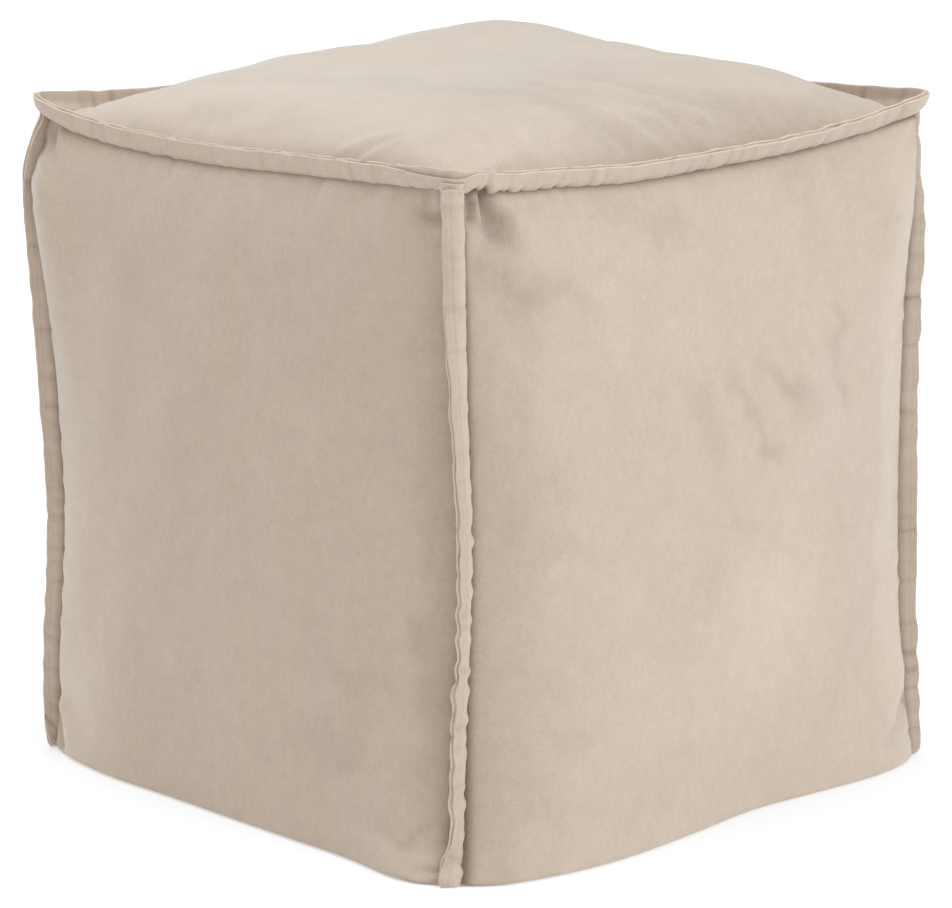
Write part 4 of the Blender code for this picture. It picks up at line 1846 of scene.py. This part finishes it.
        # Painted highlight on the folded edges; painted shade in the grooves, on the inner ply, in the
        # dents and in the creases.
        tone = np.where(point.fold > 0, self.edge_painted_highlight, self.groove_painted_shade * point.fold * closed)
        tone = tone + (self.inner_painted_shade if inner and point.flat else 0.0)
        tone = tone - self.dent_painted_shade * self.dent(stations, point)
        creased = waver.nicks[point.ply] * (point.fold <= 0)
        return tone - self.nick_painted_shade * creased * (self.inner_nick_shade if inner else 1.0)

    def tube(self, name: str, skin: Array, tones: Array, ring: bool) -> Piece:
        """The flange's closed mesh from its surface.

        Args:
            name: The object's name.
            skin: Points by station and place round the section.
            tones: Tones of painted shade and highlight, in the same order.
            ring: Whether the last station joins the first.

        Returns:
            The object.
        """
        stations, around = skin.shape[:2]
        rows = stations if ring else stations - 1
        shape = bmesh.new()
        nap_and_painted_light = shape.verts.layers.float.new("nap_and_painted_light")
        bmesh.ops.create_grid(shape, x_segments=rows, y_segments=around, size=1.0)
        for vert in shape.verts:
            station = round((vert.co.x + 1) / 2 * rows) % stations
            step = round((vert.co.y + 1) / 2 * around) % around
            vert.co = skin[station, step]
            vert[nap_and_painted_light] = tones[station, step]
        bmesh.ops.remove_doubles(shape, verts=shape.verts[:], dist=1e-6)
        rims = [edge for edge in shape.edges if edge.is_boundary]
        bmesh.ops.holes_fill(shape, edges=rims, sides=0)
        bmesh.ops.recalc_face_normals(shape, faces=shape.faces[:])
        return mesh_object(name, shape)

    def dress(self, flange: Piece, velvet: Velvet, slot: str, nodes: Sequence[str]) -> None:
        """Dresses the flange and sets it on the frame.

        Args:
            flange: The flange's object.
            velvet: Its finish.
            slot: Not used.
            nodes: The frame's nodes that it stands for.
        """
        flange.data.materials.append(velvet.build())
        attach(flange, "root")
        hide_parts(*nodes)


@dataclass
class TopFlange(Flange):
    """The flange that stands on the top seam, turning round all four corners.

    Attributes:
        stations: Sections along each side.
        root_lean: Degrees from upright at which it leaves the seam.
        turn: Distance from a corner within which its outward direction turns.
        rounding: How far its free edge cuts across the corners.
        ear_length: Distance from a corner within which an ear starts to stand out.
        edge_drop: How far the outer ply's edge drops at the tab.
        root_painted_light: Painted shade along its root.
        root_fade: Share of the width within which that fades.
        small_dent: Depth of the small dents all round it.
        velvet: Its finish.
        run: Metres along it for each station, once it is built.
        surface: Its surface by station and place round the section, once it is built.
    """

    stations: int = 240
    root_lean: float = 50.0
    turn: float = 0.013
    rounding: float = 0.0066
    ear_length: float = 0.034
    edge_drop: float = 0.0048
    root_painted_light: float = -3.4
    root_fade: float = 0.09
    small_dent: float = 0.0007
    velvet: Velvet = field(default_factory=lambda: Velvet("top_flange_velvet"))
    run: Array = field(init=False)
    surface: Array = field(init=False)

    def build(self) -> Piece:
        """Makes the flange, dressed and riding on the frame.

        Returns:
            The flange.
        """
        loop = ((Side.FRONT, 1), (Side.RIGHT, 1), (Side.BACK, -1), (Side.LEFT, -1))
        parts = [self.side_stations(side, way) for side, way in loop]
        root, out, lean, width, ears = (np.concatenate(column) for column in zip(*parts))
        start = np.radians(self.root_lean)
        root = root - (out * np.sin(start) + UP * np.cos(start)) * self.seat
        steps = np.arange(self.steps + 1) / self.steps
        points = self.middle(root, np.broadcast_to(UP, out.shape), out, lean, width, self.root_lean)
        points = points + ears[:, None] * ease(steps / 0.60)[None, :, None]
        weight = ease(steps / 0.55)[None, :, None]
        points = points * (1 - weight) + self.rounded(points) * weight
        along_way = unit(np.roll(points, -1, 0) - np.roll(points, 1, 0))
        ways = self.rounded(unit(np.cross(along_way, np.gradient(points, axis=1))), 0.35)
        self.run = np.concatenate([[0.0], np.cumsum(np.linalg.norm(np.diff(root, axis=0), axis=1))])
        stations = Stations(points, unit(ways), self.run, self.dents(), self.drop())
        self.surface, tones = self.skin(stations, 500)
        flange = self.tube("top_flange", self.surface, tones + self.root_tones(), True)
        nodes = [f"top_flange_{side.name.lower()}" for side in Side]
        self.dress(flange, self.velvet, "top_flange_cloth", nodes)
        return flange

    @property
    def past(self) -> Array:
        """Metres past the near corner for each station."""
        return self.run - self.run[self.stations]

    def side_stations(self, side: Side, way: int) -> tuple[Array, ...]:
        """The stations along one side, at even distances.

        Args:
            side: Which side.
            way: 1 to run from its start, -1 to run from its end.

        Returns:
            Root points, outward directions, leans, widths and the ears' reach, without the last station.
        """
        across = np.linspace(-1, 1, self.stations + 1)[::way][:-1]
        place = np.arcsin(across * np.sin(self.form.face_arc)) / self.form.face_arc
        root = self.form.side(side, place, 1.0)
        from_corner = (1 - np.abs(across)) * self.form.half_width
        diagonal = np.where((across < 0)[:, None], side.start.diagonal, side.end.diagonal)
        out = unit(side.outward + (diagonal - side.outward) * ease(1 - from_corner / self.turn)[:, None])
        lean, width = along(TOP_SEAM[side], across, "lean"), along(TOP_SEAM[side], across, "width")
        reach = np.where(across < 0, EARS[side.start], EARS[side.end])
        ears = times(reach * ease(1 - from_corner / self.ear_length), 1.0) * diagonal
        return root, out, lean, width, ears

    def rounded(self, values: Array, share: float = 1.0) -> Array:
        """The values averaged along the ring, which rounds its corners.

        Args:
            values: By station and step.
            share: Share of the full rounding.

        Returns:
            The averaged values.
        """
        spacing = 2 * self.form.half_width / self.stations
        reach = int(3 * self.rounding * share / spacing) + 1
        total, weights = np.zeros_like(values), 0.0
        for step in range(-reach, reach + 1):
            weight = np.exp(-0.5 * (step * spacing / (self.rounding * share)) ** 2)
            total = total + weight * np.roll(values, step, 0)
            weights += weight
        return total / weights

    def drop(self) -> Array:
        """How far the outer ply's edge lies lower as it nears the tab at the near corner."""
        return self.edge_drop * ramp(self.past, -0.085, 0.065) * (1 - ramp(self.past, -0.002, 0.016))

    def dents(self) -> Array:
        """Dents of the outer ply close to the near corner, and smaller ones all round.

        Returns:
            Metres inward, by station and step.
        """
        shares = np.arange(self.steps + 1) / self.steps
        total = np.zeros((len(self.run), self.steps + 1))
        for row in CORNER_DENTS:
            across = np.exp(-(((self.past - row.past) / row.half_width) ** 2))
            total += row.depth * across[:, None] * np.exp(-((shares / row.reach) ** 2))[None, :]
        small = Nicks(77, 0.012, 0.045, 0.0018).at(self.run)
        return total + self.small_dent * small[:, None] * np.exp(-((shares / 0.4) ** 2))[None, :]

    def root_tones(self) -> Array:
        """Painted shade along the root, lighter along the front.

        Returns:
            The tone by station and place round the section.
        """
        front = 1 - ramp(self.past, -0.020, 0.010)
        tone = self.root_painted_light * (1 - (1 - PANEL_LOOKS[Side.FRONT].rim) * front)
        return tone[:, None] * np.exp(-self.shares / self.root_fade)

    def outside(self, run: Array, share: Array) -> Array:
        """Points on the outer ply.

        Args:
            run: Metres along the flange.
            share: Shares of its width, from 0 to the last of its flat.

        Returns:
            One point for each pair.
        """
        flats = len(self.flat_shares)
        station = np.interp(run, self.run, np.arange(len(self.run)))
        row = np.interp(share, self.flat_shares, np.arange(flats))
        low_s = np.minimum(station.astype(int), len(self.run) - 2)
        low_r = np.minimum(row.astype(int), flats - 2)
        part_s, part_r = (station - low_s)[:, None], (row - low_r)[:, None]
        lower = self.surface[low_s, low_r] * (1 - part_s) + self.surface[low_s + 1, low_r] * part_s
        upper = self.surface[low_s, low_r + 1] * (1 - part_s) + self.surface[low_s + 1, low_r + 1] * part_s
        return lower * (1 - part_r) + upper * part_r


@dataclass
class CornerTab:
    """The doubled cloth at the near corner, where the corner flange's head is caught in the top seam.

    Attributes:
        flange: The top flange that it lies on.
        start: Its left end, in metres past the corner.
        end: Its right end.
        height: From its top to its lower edge.
        from_share: Share of the flange's width at which its top lies.
        slope: How far it slopes in towards its lower edge; under 0 it slopes out.
        thickness: How far it stands out.
        waver: How far its ends and its lower edge waver.
        bulge: How far its face bulges and sinks.
        sunk: How far its back reaches into the flange at its top.
        squares: Squares along each edge of its mesh.
        stitch: Length of a stitch.
        pitch: From one stitch to the next.
        first_stitch: From its left end to the first stitch.
        stitched_past: How far the stitches go on past its right end.
        stitch_share: Share of the flange's width by which they lie over its top.
        thread: Radius of the thread.
        velvet: Its finish.
    """

    flange: TopFlange
    start: float = -0.0135
    end: float = 0.0018
    height: float = 0.0068
    from_share: float = 0.73
    slope: float = -0.14
    thickness: float = 0.0016
    waver: float = 0.0004
    bulge: float = 0.00025
    sunk: float = 0.0008
    squares: int = 18
    stitch: float = 0.0019
    pitch: float = 0.0033
    first_stitch: float = 0.0012
    stitched_past: float = 0.016
    stitch_share: float = 0.08
    thread: float = 0.00026
    velvet: Velvet = field(default_factory=lambda: Velvet("tab_velvet"))

    def hung(self, run: Array, share: Array, down: Array, off: Array) -> Array:
        """Points that hang from the flange's outer ply.

        Args:
            run: Metres past the corner.
            share: Shares of the flange's width that they hang from.
            down: Metres straight down from there.
            off: Metres outward.

        Returns:
            One point for each set.
        """
        run = run + self.flange.run[self.flange.stations]
        here = self.flange.outside(run, share)
        along_way = self.flange.outside(run + 0.003, share) - self.flange.outside(run - 0.003, share)
        out = unit(np.cross(along_way, UP))
        return here - times(down, UP) + times(off - self.slope * down, out)

    def build(self) -> Piece:
        """Makes the tab, dressed and riding on the frame.

        Returns:
            The tab.
        """
        tab = cube_object("corner_tab", self.squares)
        # Mirrored along the flange, because hanging the cube from it mirrors it once more.
        x, y, z = (positions(tab.data) * np.array([-1.0, 1.0, 1.0])).T
        middle, half = (self.start + self.end) / 2, (self.end - self.start) / 2
        slack = self.waver * Ripple(61, 0.6, 1.9).at(z)
        soft = 1 - 0.40 * np.abs(x) ** 14 - 0.40 * np.abs(z) ** 12
        down = self.height * (1 - z) / 2 + self.waver * Ripple(64, 0.7, 2.2).at(x) * (z < 0)
        front = self.thickness * soft + self.bulge * Ripple(63, 0.5, 1.4).at(x)
        off = np.where(y > 0, front * y, (self.sunk + 0.5 * down) * y)
        run, share = middle + half * x + slack, np.full_like(x, self.from_share)
        place_points(tab.data, self.hung(run, share, down, off))
        # Painted highlight along the tab's lower edge and at its ends, on its face.
        edge = np.exp(-(((z + 1.0) / 0.12) ** 2)) + 0.6 * np.exp(-(((np.abs(x) - 1.0) / 0.05) ** 2))
        add_nap_and_painted_light(tab.data, np.minimum(edge, 1.0) * (y > 0.5))
        tab.data.materials.append(self.velvet.build())
        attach(tab, "root")
        return tab

    def build_stitches(self) -> Piece:
        """Makes the row of stitches across the tab and a little past it.

        Returns:
            The stitches, as one piece.
        """
        shape = bmesh.new()
        count = int((self.end + self.stitched_past - self.start) / self.pitch)
        for number in range(count):
            run = self.start + self.first_stitch + number * self.pitch
            ends = self.hung(
                np.array([run, run + self.stitch]),
                np.full(2, self.from_share + self.stitch_share),
                np.zeros(2),
                np.full(2, 0.4 * self.thread),
            )
            way = Vector(ends[1] - ends[0])
            turn = way.to_track_quat("Z", "Y").to_matrix().to_4x4()
            grow = Matrix.Diagonal((self.thread, self.thread, way.length / 2, 1.0))
            place = Matrix.Translation(Vector((ends[0] + ends[1]) / 2)) @ turn @ grow
            bmesh.ops.create_uvsphere(shape, u_segments=8, v_segments=8, radius=1.0, matrix=place)
        stitches = mesh_object("corner_stitches", shape)
        stitches.data.materials.append(Thread().build())
        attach(stitches, "root")
        return stitches


@dataclass
class CornerFlange(Flange):
    """The flange down one upright seam.

    Attributes:
        corner: Which seam.
        stations: Sections from its foot to its head.
        foot: Lowest point over the floor.
        round_end: Length over which its foot is rounded.
        scallop: How many degrees its lean wavers in its lower half.
        scallop_middle: Height at which it wavers most.
        scallop_reach: How far over and under that it wavers.
        foot_crease: Depth of the slanting crease over its foot.
        ply_line_shade: Painted shade along the lines of its turnings.
        ply_lines: Shares of its width at which those lie.
        wander, puff, puff_to, inner_painted_shade: As on every flange, for this one.
        velvet: Its finish.
    """

    corner: Corner = Corner.FRONT_RIGHT
    stations: int = 290
    foot: float = 0.0003
    round_end: float = 0.006
    scallop: float = 1.6
    scallop_middle: float = 0.18
    scallop_reach: float = 0.11
    foot_crease: float = 0.0016
    ply_line_shade: float = -0.9
    ply_lines: tuple[float, float] = (0.64, 0.84)
    wander: float = 0.0006
    puff: float = 0.0015
    puff_to: float = 0.24
    inner_painted_shade: float = -0.3
    velvet: Velvet = field(default_factory=lambda: Velvet("corner_flange_velvet"))

    def build(self) -> Piece:
        """Makes the flange, dressed and riding on the frame.

        Returns:
            The flange.
        """
        side = next(side for side in Side if self.corner in (side.start, side.end))
        top = TOP_SEAM[side][0 if side.start is self.corner else -1].height
        look, rows = CORNER_LOOKS[self.corner], CORNER_FLANGE[self.corner]
        height = np.linspace(self.foot, top + look.tuck, self.stations)
        diagonal = np.broadcast_to(self.corner.diagonal, (len(height), 3))
        sideways = np.broadcast_to(self.corner.sideways, (len(height), 3))
        seed = 600 + 20 * list(Corner).index(self.corner)
        root = self.form.seam(self.corner, np.minimum(height, top)) - diagonal * self.seat
        root[:, 2] = height
        rounded = np.sqrt(1 - (1 - np.clip((height - self.foot) / self.round_end, 0.0, 1.0)) ** 2)
        width = along(rows, height, "width") * (0.6 + 0.4 * rounded)
        waving = np.exp(-(((height - self.scallop_middle) / self.scallop_reach) ** 4))
        scallops = self.scallop * Ripple(seed + 12, 0.010, 0.022).at(height)
        lean = along(rows, height, "lean") + scallops * waving
        points = self.middle(root, diagonal, sideways, lean, width, 0.0)
        ways = unit(np.cross(np.gradient(points, axis=0), np.gradient(points, axis=1)))
        stations = Stations(points, ways, height - height[0], self.dents(height), 0.0 * height)
        skin, tones = self.skin(stations, seed)
        skin[..., 2] = np.maximum(skin[..., 2], self.foot)
        name = "corner_flange_" + self.corner.name.lower()
        flange = self.tube(name + "_cloth", skin, tones + self.root_tones(look), False)
        self.dress(flange, self.velvet, "corner_flange_cloth", [name])
        return flange

    def dents(self, height: Array) -> Array:
        """The slanting crease over the foot.

        Args:
            height: Height of each station over the floor.

        Returns:
            Metres inward, by station and step.
        """
        shares = np.arange(self.steps + 1) / self.steps
        crease = (height[:, None] - 0.012 - 0.012 * shares[None, :]) / 0.0022
        return self.foot_crease * np.exp(-(crease**2))

    def root_tones(self, look: LookRow) -> Array:
        """Painted shade over the flange, painted light at its root and painted shade along the lines of its
        turnings, for each place round the section.
        """
        lines = sum(np.exp(-(((self.shares - share) / 0.04) ** 2)) for share in self.ply_lines)
        return look.tone + look.root_painted_light * np.exp(-self.shares / look.root_reach) + self.ply_line_shade * lines


# --- The studio ---
@dataclass
class Studio:
    """Pale floor, soft lights and the camera.

    Attributes:
        target: The point that the camera looks at.
        distance: The camera's distance from it.
        azimuth: Degrees round the pouf, 0 looking along +Y.
        elevation: Degrees over the horizon.
        roll: Degrees about the line of sight.
        lens: Focal length in millimetres on the sensor.
        sensor: Sensor width in millimetres.
        shift: The picture's shift across and up, in shares of its width.
        floor_radius: Radius of the floor.
        floor_paint: How pale the floor's paint is.
        floor_glow: How far the floor is lit from beneath, which keeps it white.
        world: Strength of the even light.
        key: Strength of the light from the right.
        key_from: Which way it comes from.
        over: Strength of the light from above.
        over_from: Which way it comes from.
        air_colour: The colour of the even light.
        lamp_colour: The colour of the other two.
        lamp_spread: Degrees that each spans, seen from the pouf.
        lamp_distance: How far off each is hung, which doesn't change its light.
    """

    target: tuple[float, float, float] = (0.0, 0.0, 0.24)
    distance: float = 4.5
    azimuth: float = 48.16
    elevation: float = 13.69
    roll: float = -0.334
    lens: float = 231.24
    sensor: float = 36.0
    shift: tuple[float, float] = (-0.0040, -0.0172)
    floor_radius: float = 30.0
    floor_paint: float = 0.50
    floor_glow: float = 0.50
    world: float = 0.55
    key: float = 1.40
    key_from: tuple[float, float, float] = (1.0, 0.25, 0.95)
    over: float = 1.65
    over_from: tuple[float, float, float] = (-0.40, -0.10, 1.6)
    air_colour: Colour = (1.0, 0.972, 0.945, 1.0)
    lamp_colour: tuple[float, float, float] = (0.87, 0.985, 1.06)
    lamp_spread: float = 45.0
    lamp_distance: float = 3.0

    def build(self) -> None:
        """Makes the floor, the lights and the camera."""
        self.make_floor()
        self.make_world()
        self.make_lamp("key", self.key, self.key_from)
        self.make_lamp("over", self.over, self.over_from)
        self.make_camera()

    def make_floor(self) -> None:
        """A wide round floor, level with the pouf's base."""
        shape = bmesh.new()
        bmesh.ops.create_circle(shape, cap_ends=True, segments=96, radius=self.floor_radius)
        floor = mesh_object("floor", shape)
        graph = Graph("floor_paint")
        graph.feed(
            graph.shader,
            {
                "Base Color": (self.floor_paint, self.floor_paint, self.floor_paint, 1.0),
                "Roughness": 0.9,
                "Specular IOR Level": 0.0,
                "Emission Color": (1.0, 1.0, 1.0, 1.0),
                "Emission Strength": self.floor_glow,
            },
        )
        floor.data.materials.append(graph.material)

    def make_world(self) -> None:
        """Even light from all round."""
        world = bpy.data.worlds.new("studio")
        world.use_nodes = True
        background = world.node_tree.nodes["Background"]
        background.inputs["Color"].default_value = self.air_colour
        background.inputs["Strength"].default_value = self.world
        bpy.context.scene.world = world
        bpy.context.scene.view_settings.view_transform = "Standard"

    def make_lamp(self, name: str, strength: float, come_from: tuple[float, float, float]) -> None:
        """One very soft, far light.

        Args:
            name: The light's name.
            strength: Its strength.
            come_from: Which way it comes from.
        """
        data = bpy.data.lights.new(name, "SUN")
        data.energy = strength
        data.color = self.lamp_colour
        data.angle = np.radians(self.lamp_spread)
        lamp = bpy.data.objects.new(name, data)
        lamp.location = Vector(come_from) * self.lamp_distance
        lamp.rotation_euler = Vector(come_from).to_track_quat("Z", "Y").to_euler()
        bpy.context.scene.collection.objects.link(lamp)

    def make_camera(self) -> None:
        """The camera, at the photograph's angle."""
        azimuth, elevation, roll = np.radians([self.azimuth, self.elevation, self.roll])
        back = Vector(
            (
                np.sin(azimuth) * np.cos(elevation),
                -np.cos(azimuth) * np.cos(elevation),
                np.sin(elevation),
            )
        )
        right = Vector((np.cos(azimuth), np.sin(azimuth), 0.0))
        up = back.cross(right)
        across = right * np.cos(roll) + up * np.sin(roll)
        data = bpy.data.cameras.new("camera")
        data.sensor_fit = "HORIZONTAL"
        data.sensor_width = self.sensor
        data.lens = self.lens
        data.shift_x, data.shift_y = self.shift
        data.clip_end = 100.0
        camera = bpy.data.objects.new("camera", data)
        turned = Matrix((across, back.cross(across), back)).transposed().to_4x4()
        turned.translation = Vector(self.target) + back * self.distance
        camera.matrix_world = turned
        bpy.context.scene.collection.objects.link(camera)
        bpy.context.scene.camera = camera


# --- Making ---
def report(piece: Piece) -> None:
    """Logs a finished piece and its size in millimetres."""
    spans = [round(1000 * span) for span in piece.dimensions]
    log.info("%s: %d points, %s mm", piece.name, len(piece.data.vertices), " x ".join(map(str, spans)))


def main() -> None:
    """Builds the pouf's pieces and the studio round them."""
    logging.basicConfig(level=logging.INFO, format="%(name)s: %(message)s")
    form = PoufForm()
    Studio().build()
    report(Cushion(form).build())
    top_flange = TopFlange(form)
    report(top_flange.build())
    tab = CornerTab(top_flange)
    report(tab.build())
    report(tab.build_stitches())
    for corner in Corner:
        report(CornerFlange(form, corner=corner).build())


if __name__ == "__main__":
    main()
